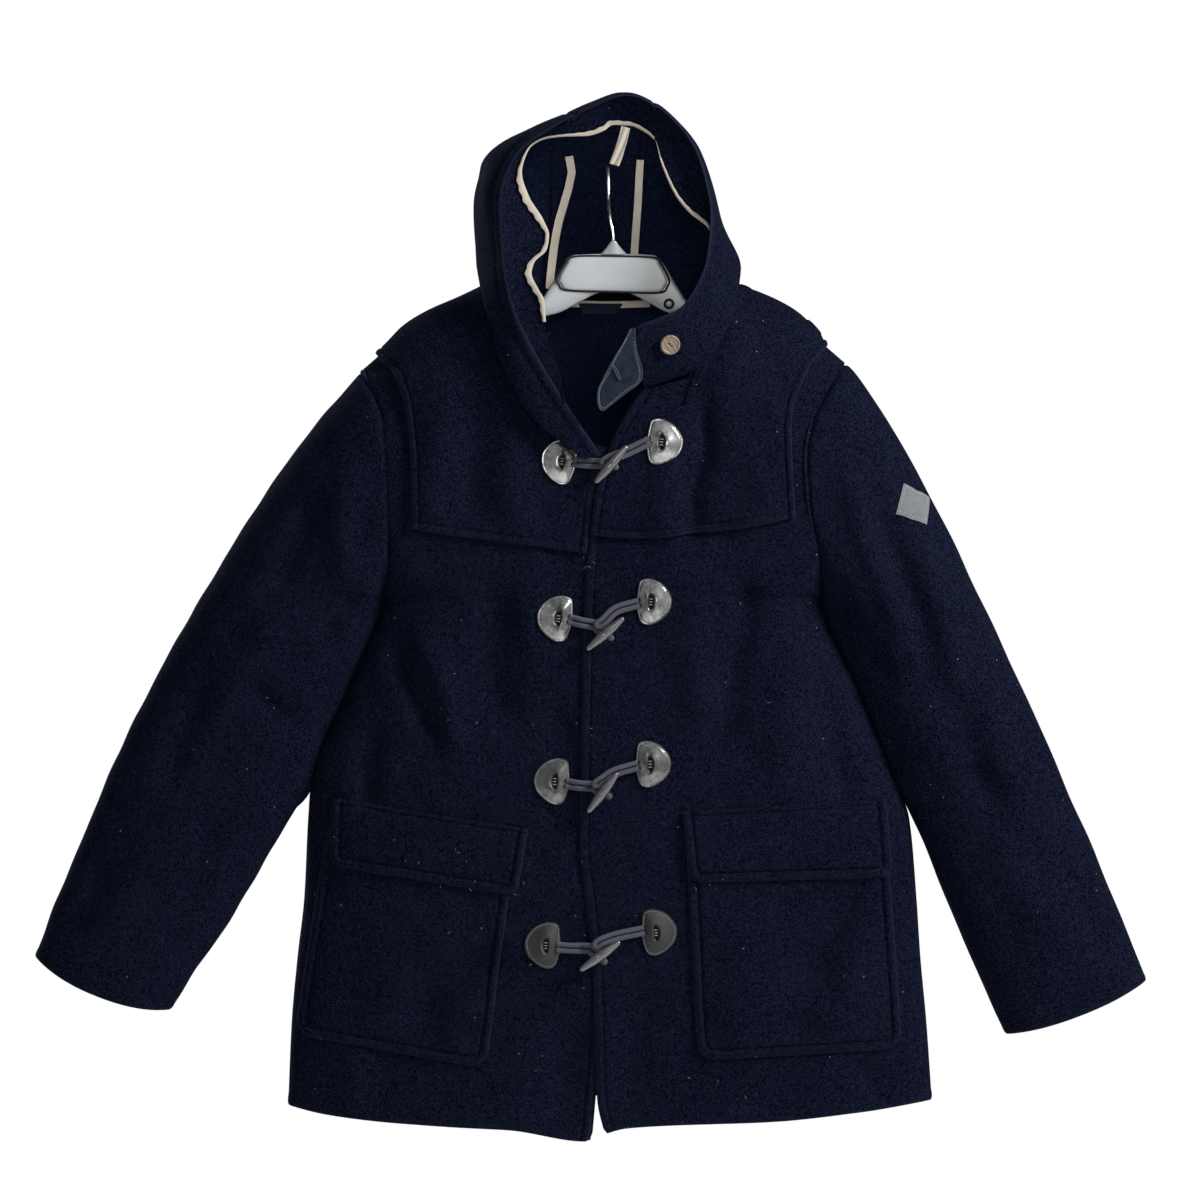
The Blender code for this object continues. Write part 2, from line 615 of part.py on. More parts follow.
def hood_point(station, depth, lift=0.0):
    """Hood surface: station along the rim, depth 0 at the rim and 1 at the neck seam."""
    station, depth = np.broadcast_arrays(np.asarray(station, float), np.asarray(depth, float))
    number = np.arange(len(HOOD["rim_x"]))
    neck_x = smooth(station, number, HOOD["neck_x"])
    neck_z = smooth(station, number, HOOD["neck_z"])
    behind = (station > 4) & (station < 12)
    over = YOKE_LIFT + CLOTH + HOOD_LAY
    neck = np.where(behind[..., None], on_body(neck_x, neck_z, "back", over),
                    on_body(neck_x, neck_z, "front", over))
    stops = [np.stack([smooth(station, number, HOOD[part + "_" + axis]) for axis in "xyz"], axis=-1)
             for part in ("rim", "side", "back")] + [neck]
    t = depth[..., None]
    basis = ((1 - t) ** 3, 3 * t * (1 - t) ** 2, 3 * t**2 * (1 - t), t**3)
    # the two inner stops are pulled out so that the curve passes near them
    pull = 1.32
    middle = 0.5 * (stops[0] + stops[3])
    inner = [middle + pull * (stop - middle) for stop in stops[1:3]]
    points = basis[0] * stops[0] + basis[1] * inner[0] + basis[2] * inner[1] + basis[3] * stops[3]
    if np.all(np.asarray(lift) == 0):
        return points
    step = 0.01
    ds = (hood_point(station, np.clip(depth + step, 0, 1))
          - hood_point(station, np.clip(depth - step, 0, 1)))
    dt = (hood_point(np.clip(station + step, 0, number[-1]), depth)
          - hood_point(np.clip(station - step, 0, number[-1]), depth))
    normal = np.cross(dt, ds)
    normal = normal / np.maximum(np.linalg.norm(normal, axis=-1, keepdims=True), 1e-9)
    return points + normal * np.asarray(lift)[..., None]


def hood_columns():
    """Stations of the columns of the hood's three panels."""
    first_seam, second_seam = HOOD_SEAM_STATIONS
    end = len(HOOD["rim_x"]) - 1
    return {
        "hood_left": np.linspace(0, first_seam - HOOD_SEAM_GAP, 15),
        "hood_centre": np.linspace(first_seam + HOOD_SEAM_GAP, second_seam - HOOD_SEAM_GAP, 5),
        "hood_right": np.linspace(second_seam + HOOD_SEAM_GAP, end, 13),
    }


def hood():
    for name, station in hood_columns().items():
        sheet(name, hood_point(station[None, :], HOOD_ROWS[:, None]), WOOL)


def flat_piece(name, number):
    """A patch pocket or its flap, with round lower corners, laid on the front."""
    row = {column: values[number] for column, values in PATCHED.items()}
    u = np.array([0, 0.02, 0.06, 0.13, 0.3, 0.5, 0.7, 0.87, 0.94, 0.98, 1.0])
    v = np.linspace(0, 1, 6 if "flap" in name else 8)
    side = "left" if "left" in name else "right"
    low = np.array([[row["low_x0"], row["low_z0"]], [row["low_x1"], row["low_z1"]]])
    top = np.array([[row["top_x0"], row["top_z0"]], [row["top_x1"], row["top_z1"]]])
    width = np.linalg.norm(low[1] - low[0])
    corner = row["corner"]
    inset = np.clip(corner - np.minimum(u, 1 - u) * width, 0, corner)
    rise = corner - np.sqrt(corner**2 - inset**2)
    bottom = low[0] + (low[1] - low[0]) * u[:, None] + np.stack([0 * u, rise], axis=-1)
    upper = top[0] + (top[1] - top[0]) * u[:, None]
    first = bottom[0] + (upper[0] - bottom[0]) * v[:, None]
    last = bottom[-1] + (upper[-1] - bottom[-1]) * v[:, None]
    grid = patchwork(bottom, upper, first, last, u, v)
    lift = np.full(grid.shape[:2], LAP)
    if "pocket" in name:
        lift += POCKET_SLACK * np.clip((1 - v[:, None]) / 0.3, 0, 1)
    else:
        lift += (LAP + POCKET_SLACK) * np.clip((1 - v[:, None]) / 0.3, 0, 1)
    points = on_body(grid[..., 0], grid[..., 1], "front", lift, LAP if side == "left" else 0)
    sheet(name, points, WOOL, flip=side == "right")


def locate(surface, x, z, first, second):
    """Parameters of the surface's point that shows at x and z, searched in two ranges."""
    for _ in range(7):
        a, b = np.meshgrid(np.linspace(*first, 13), np.linspace(*second, 13), indexing="ij")
        miss = np.hypot(surface(a, b)[..., 0] - x, surface(a, b)[..., 2] - z)
        i, j = np.unravel_index(np.argmin(miss), miss.shape)
        span_a, span_b = (first[1] - first[0]) / 5, (second[1] - second[0]) / 5
        first = (a[i, j] - span_a / 2, a[i, j] + span_a / 2)
        second = (b[i, j] - span_b / 2, b[i, j] + span_b / 2)
    return 0.5 * sum(first), 0.5 * sum(second)


def frame_at(surface, a, b, step=0.01):
    """Place, across, up and outward directions of a surface that faces the front."""
    place = surface(a, b)
    one, two = surface(a + step, b) - surface(a - step, b), surface(a, b + step) - surface(a, b - step)
    out = np.cross(one, two)
    out = out / np.linalg.norm(out)
    out = -out if out[1] > 0 else out
    up = np.array([0, 0, 1.0]) - out * out[2]
    up = up / np.linalg.norm(up)
    return place, np.cross(up, out), up, out


def body_frame(x, z, under):
    """The same on the front of the body."""
    place = on_body(x, z, "front", 0.0, under)
    out = on_body(x, z, "front", 1.0, under) - place
    up = np.array([0, 0, 1.0]) - out * out[2]
    up = up / np.linalg.norm(up)
    return place, np.cross(up, out), up, out


def leather_patch(name, x, z, flat_side, under, base):
    """Domed leather patch with a slot, its flat side towards the front edges."""
    angle = np.arange(12) * 2 * np.pi / 12
    cos, sin = np.cos(angle), np.sin(angle)
    power = np.where(cos * flat_side > 0, 0.55, 1.0)
    edge_x = 0.5 * PATCH_WIDTH * np.sign(cos) * np.abs(cos) ** power
    edge_z = 0.5 * PATCH_HEIGHT * np.sign(sin) * np.abs(sin) ** 0.9
    slot_x, slot_z = 0.0016 * cos, 0.0062 * sin
    rows = []
    for share, rise in ((0.0, PATCH_RISE), (0.45, 0.6 * PATCH_RISE), (1.0, 0.0)):
        at_x = x + slot_x + (edge_x - slot_x) * share
        at_z = z + slot_z + (edge_z - slot_z) * share
        rows.append(on_body(at_x, at_z, "front", base + LAY + PATCH_WALL + rise, under))
    sheet(name, np.array(rows), LEATHER, wall=PATCH_WALL, tube=True, flip=True)


def cord(name, route):
    data = bpy.data.curves.new(name, "CURVE")
    data.dimensions = "3D"
    data.bevel_depth = CORD_RADIUS
    data.bevel_resolution = 2
    data.use_fill_caps = True
    spline = data.splines.new("POLY")
    spline.points.add(len(route) - 1)
    for point, place in zip(spline.points, route):
        point.co = (*place, 1.0)
    return add_object(name, data, CORD)


def loop_route(start, end, base, bend=0.0):
    """Two strands side by side from start to end, joined by a half turn at the end."""
    start, end = np.array(start), np.array(end)
    run = (end - start) / np.linalg.norm(end - start)
    side = np.array([-run[1], run[0]])
    out = [start + (end - start) * t + side * bend * np.sin(np.pi * t) for t in (0, 0.33, 0.67, 1)]
    turn = [out[-1] + CORD_SPREAD * (side * np.cos(a) + run * np.sin(a))
            for a in np.pi * np.array([0.25, 0.5, 0.75])]
    flat = ([p + CORD_SPREAD * side for p in out] + turn
            + [p - CORD_SPREAD * side for p in reversed(out)])
    flat = np.array(flat)
    # beside the front edge a cord sinks to the front that lies underneath
    beside = smooth(flat[:, 1], FRONT_EDGE["z"], FRONT_EDGE["x"]) - CORD_RADIUS - flat[:, 0]
    sink = LAP * np.clip(beside / (3 * CORD_RADIUS), 0, 1)
    return on_body(flat[:, 0], flat[:, 1], "front", base + LAY + CORD_RADIUS - sink)


def fastenings():
    for number in range(len(FASTENINGS["toggle_x"])):
        row = {name: column[number] for name, column in FASTENINGS.items()}
        tag = str(number + 1)
        base = YOKE_LIFT if number == 0 else 0.0
        leather_patch("toggle_patch_" + tag, row["toggle_x"], row["toggle_z"], 1, LAP, base)
        leather_patch("loop_patch_" + tag, row["loop_x"], row["loop_z"], -1, 0.0, base)
        waist_x = 0.5 * (row["horn_x0"] + row["horn_x1"])
        waist_z = 0.5 * (row["horn_z0"] + row["horn_z1"])
        reach = 0.5 * PATCH_WIDTH + 0.0046
        start = (row["toggle_x"] + reach, row["toggle_z"])
        cord("toggle_cord_" + tag, loop_route(start, (waist_x - 0.017, waist_z - 0.002), base))
        start = (row["loop_x"] - reach, row["loop_z"])
        cord("loop_cord_" + tag, loop_route(start, (waist_x - 0.004, waist_z - 0.001), base, 0.003))
        horn("toggle_" + tag, row, base)


def horn(name, row, base):
    """Spindle of horn, thickest in the middle, lying on the loop."""
    ends = np.array([[row["horn_x0"], row["horn_z0"]], [row["horn_x1"], row["horn_z1"]]])
    middle, run = ends.mean(axis=0), ends[0] - ends[1]
    lift = base + 1.5 * LAY + 2 * CORD_RADIUS + HORN_RADIUS
    place, across, up, out = body_frame(middle[0], middle[1], 0.0)
    axis = across * run[0] + up * run[1]
    length = np.linalg.norm(axis)
    axis = axis / length
    side = np.cross(axis, out)
    rings = []
    for share, radius in ((-0.5, 0.3), (-0.3, 0.8), (0, 1.0), (0.3, 0.8), (0.5, 0.3)):
        angle = np.arange(8) * 2 * np.pi / 8
        centre = place + out * lift + axis * length * share
        rings.append(centre + HORN_RADIUS * radius * (np.cos(angle)[:, None] * side
                                                     + np.sin(angle)[:, None] * out))
    loft(name, rings, HORN)


def loft(name, rings, finish):
    """Closed solid through rings of points."""
    bm = bmesh.new()
    verts = [[bm.verts.new(p) for p in ring] for ring in rings]
    for first, second in zip(verts, verts[1:]):
        for i in range(len(first)):
            k = (i + 1) % len(first)
            bm.faces.new((first[i], first[k], second[k], second[i]))
    bm.faces.new(verts[0][::-1])
    bm.faces.new(verts[-1])
    bmesh.ops.recalc_face_normals(bm, faces=bm.faces[:])
    return add_object(name, mesh_from_bmesh(name, bm), finish)


def throat_tab():
    rows = []
    for i in range(len(TAB["y"])):
        left = np.array([TAB["left_x"][i], TAB["y"][i], TAB["left_z"][i]])
        right = np.array([TAB["right_x"][i], TAB["y"][i], TAB["right_z"][i]])
        rows.append([left + (right - left) * t for t in (0, 0.5, 1)])
    sheet("throat_tab", np.array(rows[::-1]), CHAMBRAY, wall=0.002)


def throat_button():
    station, depth = locate(hood_point, BUTTON_X, BUTTON_Z, (12, 15), (0, 1))
    place, across, up, out = frame_at(hood_point, station, depth)
    angle = np.arange(16) * 2 * np.pi / 16
    circle = BUTTON_RADIUS * (np.cos(angle)[:, None] * across + np.sin(angle)[:, None] * up)
    rings = [place + out * (LAY + rise) + circle for rise in (0, BUTTON_THICK)]
    loft("throat_button", rings, WOOD)


def sleeve_badge():
    corners = np.stack([BADGE["x"], BADGE["z"]], axis=-1)
    rows = []
    for v in (0, 0.5, 1):
        row = []
        for u in (0, 0.5, 1):
            x, z = ((1 - v) * ((1 - u) * corners[3] + u * corners[2])
                    + v * ((1 - u) * corners[0] + u * corners[1]))
            ring, angle = locate(lambda a, b: sleeve_point("right", a, b), x, z, (0, 0.5), (0.3, 2.8))
            row.append(sleeve_point("right", ring, angle, TAPE_LAY + TAPE))
        rows.append(row)
    sheet("sleeve_badge", np.array(rows), BADGE_CLOTH, wall=TAPE)


def hood_tapes():
    inside = -(CLOTH + TAPE_LAY)
    for name, station, first in (("hood_tape_left", 7.0, 4), ("hood_tape_right", 9.0, 5)):
        depth = np.append(HOOD_ROWS[first:-1], 0.97)[:, None]
        across = station + np.array([[-0.1, 0.1]])
        sheet(name, hood_point(across, depth, inside), TWILL, wall=TAPE)
    station = np.concatenate(list(hood_columns().values()))[None, 5:-5]
    depth = np.array([[FACING_DEPTH], [FACING_DEPTH + 0.022]])
    sheet("facing_binding", hood_point(station, depth, inside), TWILL, wall=TAPE)


def neck_trim():
    x = np.linspace(-0.09, 0.09, 9)[None, :]
    z = smooth(x, BACK_NECK["x"], BACK_NECK["z"]) - np.array([[0.006], [0.001]])
    sheet("neck_tape", on_body(x, z, "back", -(CLOTH + TAPE_LAY)), TWILL, wall=TAPE, flip=True)
    shares = np.linspace(0, 1, 4)[None, :]
    x = np.concatenate([-0.028 + 0.035 * shares, -0.032 + 0.046 * shares])
    z = np.array([[-0.148], [-0.138]]) + 0 * shares
    sheet("neck_label", on_body(x, z, "back", -(CLOTH + TAPE_LAY)), LABEL, wall=TAPE, flip=True)


def hanger():
    """Flat plastic hanger with round edges; its arms end under the shoulders' ridge."""
    x = HANGER_REACH * np.linspace(-1, 1, 23)
    top = smooth(np.abs(x), HANGER_TOP["x"], HANGER_TOP["z"])
    below_ridge = smooth(x + HANGER_MIDDLE, RIDGE["x"], RIDGE["z"]) - CLOTH - HANGER_SEAT
    arm = np.clip((np.abs(x) - 0.115) / 0.03, 0, 1)
    top = top + (below_ridge - top) * arm
    bottom = np.minimum(smooth(np.abs(x), HANGER_BOTTOM["x"], HANGER_BOTTOM["z"]), top - 0.014)
    rings = []
    for at_x, high, low in zip(x + HANGER_MIDDLE, top, bottom):
        angle = (np.arange(8) + 0.5) * 2 * np.pi / 8
        y = np.clip(np.cos(angle) * 1.1, -1, 1) * HANGER_THICK / 2
        z = 0.5 * (high + low) + 0.5 * (high - low) * np.clip(np.sin(angle) * 1.083, -1, 1)
        rings.append(np.stack([0 * y + at_x, y, z], axis=-1))
    loft("hanger_body", rings, PLASTIC)
    angle = np.arange(12) * 2 * np.pi / 12
    circle = np.stack([np.cos(angle), 0.55 * np.sin(angle), 0 * angle], axis=-1)
    base = np.array([HANGER_MIDDLE, 0, top.max() + 0.0003])
    tip = np.array([HANGER_MIDDLE, 0, -0.0745])
    loft("hanger_collar", [base + 0.0095 * circle, tip + 0.0026 * circle], PLASTIC)
    loop = HOOK_LOOP * np.array([0, 1, 0]), HOOK_LOOP * np.array([0, 0, 1])
    centre = np.array([0, 0, -HOOK_LOOP - WIRE_RADIUS])
    turn = [centre + loop[0] * np.cos(a) + loop[1] * np.sin(a)
            for a in np.radians(np.arange(-50, 211, 20))]
    foot = [(HANGER_MIDDLE, 0, -0.0742), (HANGER_MIDDLE - 0.001, 0, -0.062), (0.001, 0.004, -0.050)]
    data_name = "hanger_hook"
    item = cord(data_name, [np.array(p) for p in foot] + turn)
    item.data.bevel_depth = WIRE_RADIUS
    item.data.materials.clear()
    item.data.materials.append(material(WIRE_FINISH))


def main():
    clear_scene()
    old = bpy.data.collections.get("duffle_coat")
    if old is not None:
        bpy.data.collections.remove(old)
    bpy.context.scene.collection.children.link(bpy.data.collections.new("duffle_coat"))
    for side in ("left", "right"):
        front_panel(side)
        front_yoke(side)
        sleeve(side)
    back_panel()
    back_yoke()
    hood()
    hood_tapes()
    neck_trim()
    for number, name in enumerate(PATCHED_NAMES):
        flat_piece(name, number)
    fastenings()
    throat_tab()
    throat_button()
    sleeve_badge()
    hanger()


main()
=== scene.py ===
"""Looks of the duffle coat on its hanger: finer cloth over the solids, seams, stitches, trims.

Metres, +Z up, origin at the top of the hanger's hook, front towards -Y, the wearer's right side
at -X and called left. Tables give millimetres. Every cloth surface is worked out from the same
sizes as the solids, and what lies on a panel is taken from that panel and moved out.
"""
import math

import bmesh
import bpy
import numpy as np
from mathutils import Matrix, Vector


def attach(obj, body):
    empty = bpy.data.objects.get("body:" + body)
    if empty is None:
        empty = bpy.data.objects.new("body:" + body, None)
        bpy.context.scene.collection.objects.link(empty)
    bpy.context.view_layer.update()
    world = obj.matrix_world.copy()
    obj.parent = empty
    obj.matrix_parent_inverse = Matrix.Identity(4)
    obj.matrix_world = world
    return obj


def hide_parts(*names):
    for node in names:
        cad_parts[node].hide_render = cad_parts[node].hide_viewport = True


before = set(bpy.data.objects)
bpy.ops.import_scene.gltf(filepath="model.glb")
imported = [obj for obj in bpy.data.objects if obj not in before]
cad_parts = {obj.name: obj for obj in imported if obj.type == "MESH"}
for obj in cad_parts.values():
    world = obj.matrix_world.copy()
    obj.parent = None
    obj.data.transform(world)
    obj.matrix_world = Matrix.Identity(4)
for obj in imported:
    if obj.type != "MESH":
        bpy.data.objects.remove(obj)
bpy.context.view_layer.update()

MM = 0.001
CLOTH = 0.0025            # thickness of the wool
SEAM = 0.0003             # how far a panel ends from the plane of the side seams
LAY = 0.0005              # gap between layers
LAP = CLOTH + LAY
YOKE_LIFT = CLOTH + 0.0024
SECTION_POWER = 2.8       # roundness of the body's level section
SHOULDER_REACH = 0.150    # how far below the ridge the body is at its full depth
ARMHOLE_DEPTH = 0.058     # from the plane of the side seams
SLEEVE_CLEAR = 0.0006
ARMHOLE_LAP = 0.0012
RIPPLE = 0.0004
STITCH_IN = 0.0085        # from a sewn edge to its line of topstitching
STITCH_WIDE = 0.0013
STITCH_DEEP = 0.0011
EDGE_ROLL = 0.0007        # how far a turned edge swells beside its stitching
EDGE_ROUND = 0.0010       # how far its rim is rounded down
CORD_RADIUS = 0.0025
SIGN = {"left": -1, "right": 1}
UNDER = {"left": LAP, "right": 0.0}     # the left front lies under the right one


def table(columns, *rows):
    """Named columns of a short table, millimetres in and metres out."""
    values = np.array(rows, float) * MM
    return {name: values[:, i] for i, name in enumerate(columns.split())}


# The body, as in the solids

BODY = table("z left right front back", (-942, -321, 323, 42, 38), (-855, -317, 317, 46, 42),
    (-790, -311, 311, 50, 45), (-730, -304, 307, 53, 48), (-653, -300, 300, 56, 51),
    (-607, -296, 284, 57, 52), (-520, -261, 249, 59, 54), (-430, -225, 212, 60, 55),
    (-393, -219, 210, 60, 56), (-337, -220, 199, 60, 56), (-292, -222, 196, 59, 56),
    (-256, -225, 202, 58, 56), (-232, -233, 214, 58, 56), (-214, -243, 224, 58, 56),
    (-196, -249, 236, 58, 56))
ARMPIT = -0.430
NECK_HALF = 0.120         # half the neck's width at the shoulder ridge
SHOULDER_TIP = {"left": -0.205, "right": -0.197}
RIDGE = table("x z", (-249, -205), (-234, -192), (-220, -179), (-202, -161), (-179, -147),
    (-147, -133), (-122, -121), (-60, -75), (0, -60), (60, -75), (122, -120), (151, -130),
    (184, -147), (211, -174), (236, -196))
HEM = table("x front back", (-323, -937, -936), (-283, -946, -938), (-237, -952, -937),
    (-157, -958, -934), (-99, -961, -932), (-24, -972, -931), (-17, -968, -931), (-3, -964, -931),
    (17, -959, -931), (63, -956, -931), (155, -953, -932), (246, -944, -934), (323, -932, -932))
FRONT_EDGE = table("z x", (-970, -3), (-929, -12), (-803, -16), (-732, -23), (-678, -29),
    (-584, -28), (-423, -24), (-372, -19), (-326, -13), (-282, 0), (-259, 11), (-224, 33))
UNDER_EDGE = table("z x", (-971, -19), (-303, 39))
NECK = {
    "left": table("x z", (-122, -121), (-110, -148), (-97, -195), (-76, -230), (-49, -255),
        (-10, -281), (39, -303)),
    "right": table("x z", (122, -120), (111, -148), (104, -190), (92, -207), (55, -219),
        (33, -224)),
}
BACK_NECK = table("x z", (-122, -121), (-80, -127), (0, -131), (80, -127), (122, -120))
YOKE_LOWER = {
    "left": table("x z", (-196, -362), (-158, -369), (-94, -377), (-22, -387)),
    "right": table("x z", (185, -351), (161, -356), (123, -363), (21, -372), (-18, -369)),
}
YOKE_SIDE = {
    "left": table("z x", (-362, -196), (-300, -197), (-247, -202), (-215, -211), (-200, -222),
        (-189, -231)),
    "right": table("z x", (-351, 185), (-262, 181), (-237, 184), (-219, 191), (-199, 201),
        (-181, 216)),
}
YOKE_BACK_LOWER = -0.365
HEM_SIDE = -0.94            # height of the hem at the side seams

# Soft folds of the fronts and the back: a ridge (lift above 0) or trough (below 0) along a run
FOLDS = {
    "front": table("x0 z0 x1 z1 width lift", (128, -150, 110, -225, 30, 2.5),
        (99, -235, 88, -313, 26, -3.5), (88, -300, 78, -370, 26, -3.0),
        (60, -300, 52, -372, 34, 1.8), (150, -300, 146, -370, 40, 1.6),
        (136, -415, 124, -500, 30, -3.2), (125, -490, 106, -575, 34, -3.0),
        (88, -420, 84, -560, 44, 2.2), (188, -440, 176, -620, 44, 2.4),
        (222, -480, 232, -640, 28, -2.6), (256, -716, 176, -815, 40, -4.0),
        (210, -860, 255, -790, 40, 2.4), (110, -860, 160, -760, 60, 1.8),
        (-113, -780, -201, -850, 36, -4.0), (-150, -760, -230, -830, 44, 2.0),
        (-160, -880, -130, -830, 30, 2.0), (-214, -462, -180, -560, 26, -4.2),
        (-184, -548, -166, -578, 9, -2.4), (-186, -470, -150, -590, 34, 2.6),
        (-120, -420, -104, -560, 40, -2.0), (-76, -400, -70, -560, 40, 1.8),
        (-232, -560, -246, -640, 26, -2.8), (-170, -215, -176, -350, 38, 1.8),
        (-140, -230, -132, -360, 36, -2.0), (-96, -260, -92, -372, 34, 1.8),
        (-60, -500, -54, -600, 34, -1.6), (30, -830, 24, -950, 40, -1.6),
        (-40, -840, -52, -955, 44, -1.8), (-250, -880, -262, -945, 40, 2.0),
        (262, -890, 268, -940, 44, -2.0)),
    "back": table("x0 z0 x1 z1 width lift", (-120, -400, -150, -930, 38, -5),
        (105, -430, 140, -930, 34, -4.5), (-10, -520, 15, -930, 46, 4),
        (-60, -400, -76, -700, 40, 3), (60, -390, 70, -640, 36, 2.6),
        (-190, -440, -206, -760, 32, 3.2), (190, -440, 214, -780, 34, 3.0),
        (-150, -190, -164, -350, 36, -2.4), (140, -190, 152, -350, 34, -2.2),
        (0, -160, 4, -340, 60, -1.8), (-238, -600, -262, -900, 34, -3.0),
        (240, -560, 256, -880, 34, -2.8), (30, -700, 44, -925, 30, -2.4)),
}

SLEEVE = {
    "left": table("ox oz ix iz depth front_bow back_bow",
        (-249, -206, -226, -432, 61, -16, -16),
        (-267, -226, -232, -446, 59, -9, -9),
        (-283, -244, -239, -464, 56, -4, -4),
        (-319, -291, -252, -497, 52, 0, 0),
        (-363, -355, -267, -534, 48, 2, 1),
        (-401, -419, -284, -575, 45, 3, 1),
        (-439, -483, -298, -613, 42, 4, 0),
        (-472, -547, -323, -659, 39, 6, -2),
        (-502, -611, -351, -707, 36, 8, -3),
        (-529, -675, -380, -755, 34, 10, -4),
        (-555, -739, -413, -803, 31, 12, -5),
        (-574, -789, -438, -843, 29, 13, -6)),
    "right": table("ox oz ix iz depth front_bow back_bow",
        (237, -198, 213, -432, 61, -22, -18),
        (250, -210, 221, -448, 59, -13, -11),
        (272, -243, 229, -465, 56, -6, -5),
        (300, -291, 241, -497, 52, -1, -1),
        (334, -355, 257, -535, 48, 2, 1),
        (365, -419, 274, -577, 45, 3, 1),
        (395, -483, 292, -624, 42, 4, 0),
        (425, -547, 311, -668, 39, 5, -1),
        (453, -611, 330, -715, 36, 6, -2),
        (481, -675, 350, -763, 34, 7, -3),
        (508, -739, 372, -815, 31, 8, -4),
        (537, -813, 397, -867, 29, 8, -5)),
}
SLEEVE_POWER = 2.3        # roundness of a sleeve's section
ARMHOLE_BLEND = 0.28      # share of a sleeve over which the armhole's shape fades out
SLEEVE_FREE = -0.64       # below this height a sleeve hangs clear of the body
SLEEVE_PRESS = 0.0014     # how far its inner edge is pressed in above that

# Stations of the hood round its rim, from the left front over the top to the right front: the
# rim, two stops that the cloth passes near, and the neck seam
HOOD = table(
    "rim_x rim_y rim_z side_x side_y side_z back_x back_y back_z neck_x neck_z",
    (-8, -72, -289, -24, -75, -294, -34, -74, -286, -22, -274),
    (-47, -76, -231, -76, -76, -256, -80, -70, -246, -66, -238),
    (-74, -76, -186, -104, -72, -205, -106, -66, -196, -98, -200),
    (-95, -70, -142, -122, -52, -146, -124, -44, -138, -113, -152),
    (-106, -64, -92, -133, -28, -92, -132, 4, -92, -122, -121),
    (-108, -58, -40, -139, -12, -34, -130, 36, -50, -96, -125),
    (-94, -52, 6, -141, 0, 2, -112, 50, -24, -76, -127),
    (-34, -42, 50, -56, 6, 42, -48, 58, 4, -58, -129),
    (17, -38, 70, 2, 8, 60, -6, 66, 12, -16, -131),
    (46, -38, 60, 38, 8, 54, 30, 62, 6, 26, -130),
    (88, -44, 12, 92, 2, 4, 78, 52, -18, 60, -128),
    (102, -52, -50, 116, -8, -50, 108, 32, -60, 96, -125),
    (98, -62, -92, 127, -28, -96, 130, 2, -96, 119, -119),
    (72, -74, -142, 112, -64, -152, 124, -46, -142, 115, -154),
    (27, -84, -163, 62, -84, -178, 96, -69, -190, 98, -198),
    (25, -83, -172, 28, -84, -192, 32, -76, -210, 35, -223),
)
HOOD_SEAM_STATIONS = (7, 9)
HOOD_SEAM_GAP = 0.004
HOOD_PULL = 1.32          # how far the two stops are pulled out
BEHIND_NECK = (4, 12)     # between these stations the neck seam lies on the back
OVER_FRONTS = (2.6, 12.1)     # beyond these stations the collar lies over the fronts


# Curves through tables

def smooth(value, xs, ys):
    """Cubic through the table's points that never overshoots them."""
    xs, ys = np.asarray(xs, float), np.asarray(ys, float)
    if xs[0] > xs[-1]:
        xs, ys = xs[::-1], ys[::-1]
    step = np.diff(xs)
    slope = np.diff(ys) / step
    tangent = np.concatenate(([slope[0]], np.zeros(len(xs) - 2), [slope[-1]]))
    for i in range(1, len(xs) - 1):
        if slope[i - 1] * slope[i] > 0:
            tangent[i] = 2 * slope[i - 1] * slope[i] / (slope[i - 1] + slope[i])
    value = np.clip(value, xs[0], xs[-1])
    i = np.clip(np.searchsorted(xs, value) - 1, 0, len(step) - 1)
    t = (value - xs[i]) / step[i]
    return ((2 * t**3 - 3 * t**2 + 1) * ys[i] + (t**3 - 2 * t**2 + t) * step[i] * tangent[i]
            + (3 * t**2 - 2 * t**3) * ys[i + 1] + (t**3 - t**2) * step[i] * tangent[i + 1])


def held(value):
    """Values held between 0 and 1."""
    return np.clip(value, 0, 1)


def spots(*columns):
    """Points from their columns."""
    return np.stack(np.broadcast_arrays(*columns), axis=-1)


def full_turn(count):
    """Angles once round, the last on the first."""
    return np.linspace(0, 2 * np.pi, count)


def reach_of(line):
    """Distance travelled at each point of a polyline."""
    return np.concatenate(([0], np.cumsum(np.linalg.norm(np.diff(line, axis=0), axis=1))))


def sampled(at, reach, line):
    """Points of a polyline where the distance travelled is at."""
    return np.stack([np.interp(at, reach, column) for column in line.T], axis=-1)


def unit(vectors):
    """Vectors of length 1 along their last axis."""
    return vectors / np.maximum(np.linalg.norm(vectors, axis=-1, keepdims=True), 1e-9)


def bell(off, wide):
    """Hump that is 1 where off is 0 and fades over a few widths."""
    return np.exp(-(off / wide) ** 2)


def along(share, *columns):
    """Points at shares of the way along a polyline's length, as a smooth curve."""
    reach = reach_of(np.stack(columns, axis=-1))
    return np.stack([smooth(np.asarray(share) * reach[-1], reach, c) for c in columns], axis=-1)


def flowing(points, count):
    """Catmull-Rom curve through points, count points evenly along it."""
    points = np.asarray(points, float)
    ends = np.vstack([2 * points[0] - points[1], points, 2 * points[-1] - points[-2]])
    t = np.linspace(0, 1, 12, endpoint=False)[:, None]
    pieces = [0.5 * (2 * b + (c - a) * t + (2 * a - 5 * b + 4 * c - d) * t**2
                     + (3 * b - a - 3 * c + d) * t**3)
              for a, b, c, d in zip(ends, ends[1:], ends[2:], ends[3:])]
    curve = np.vstack(pieces + [points[-1:]])
    reach = reach_of(curve)
    return sampled(np.linspace(0, reach[-1], count), reach, curve)


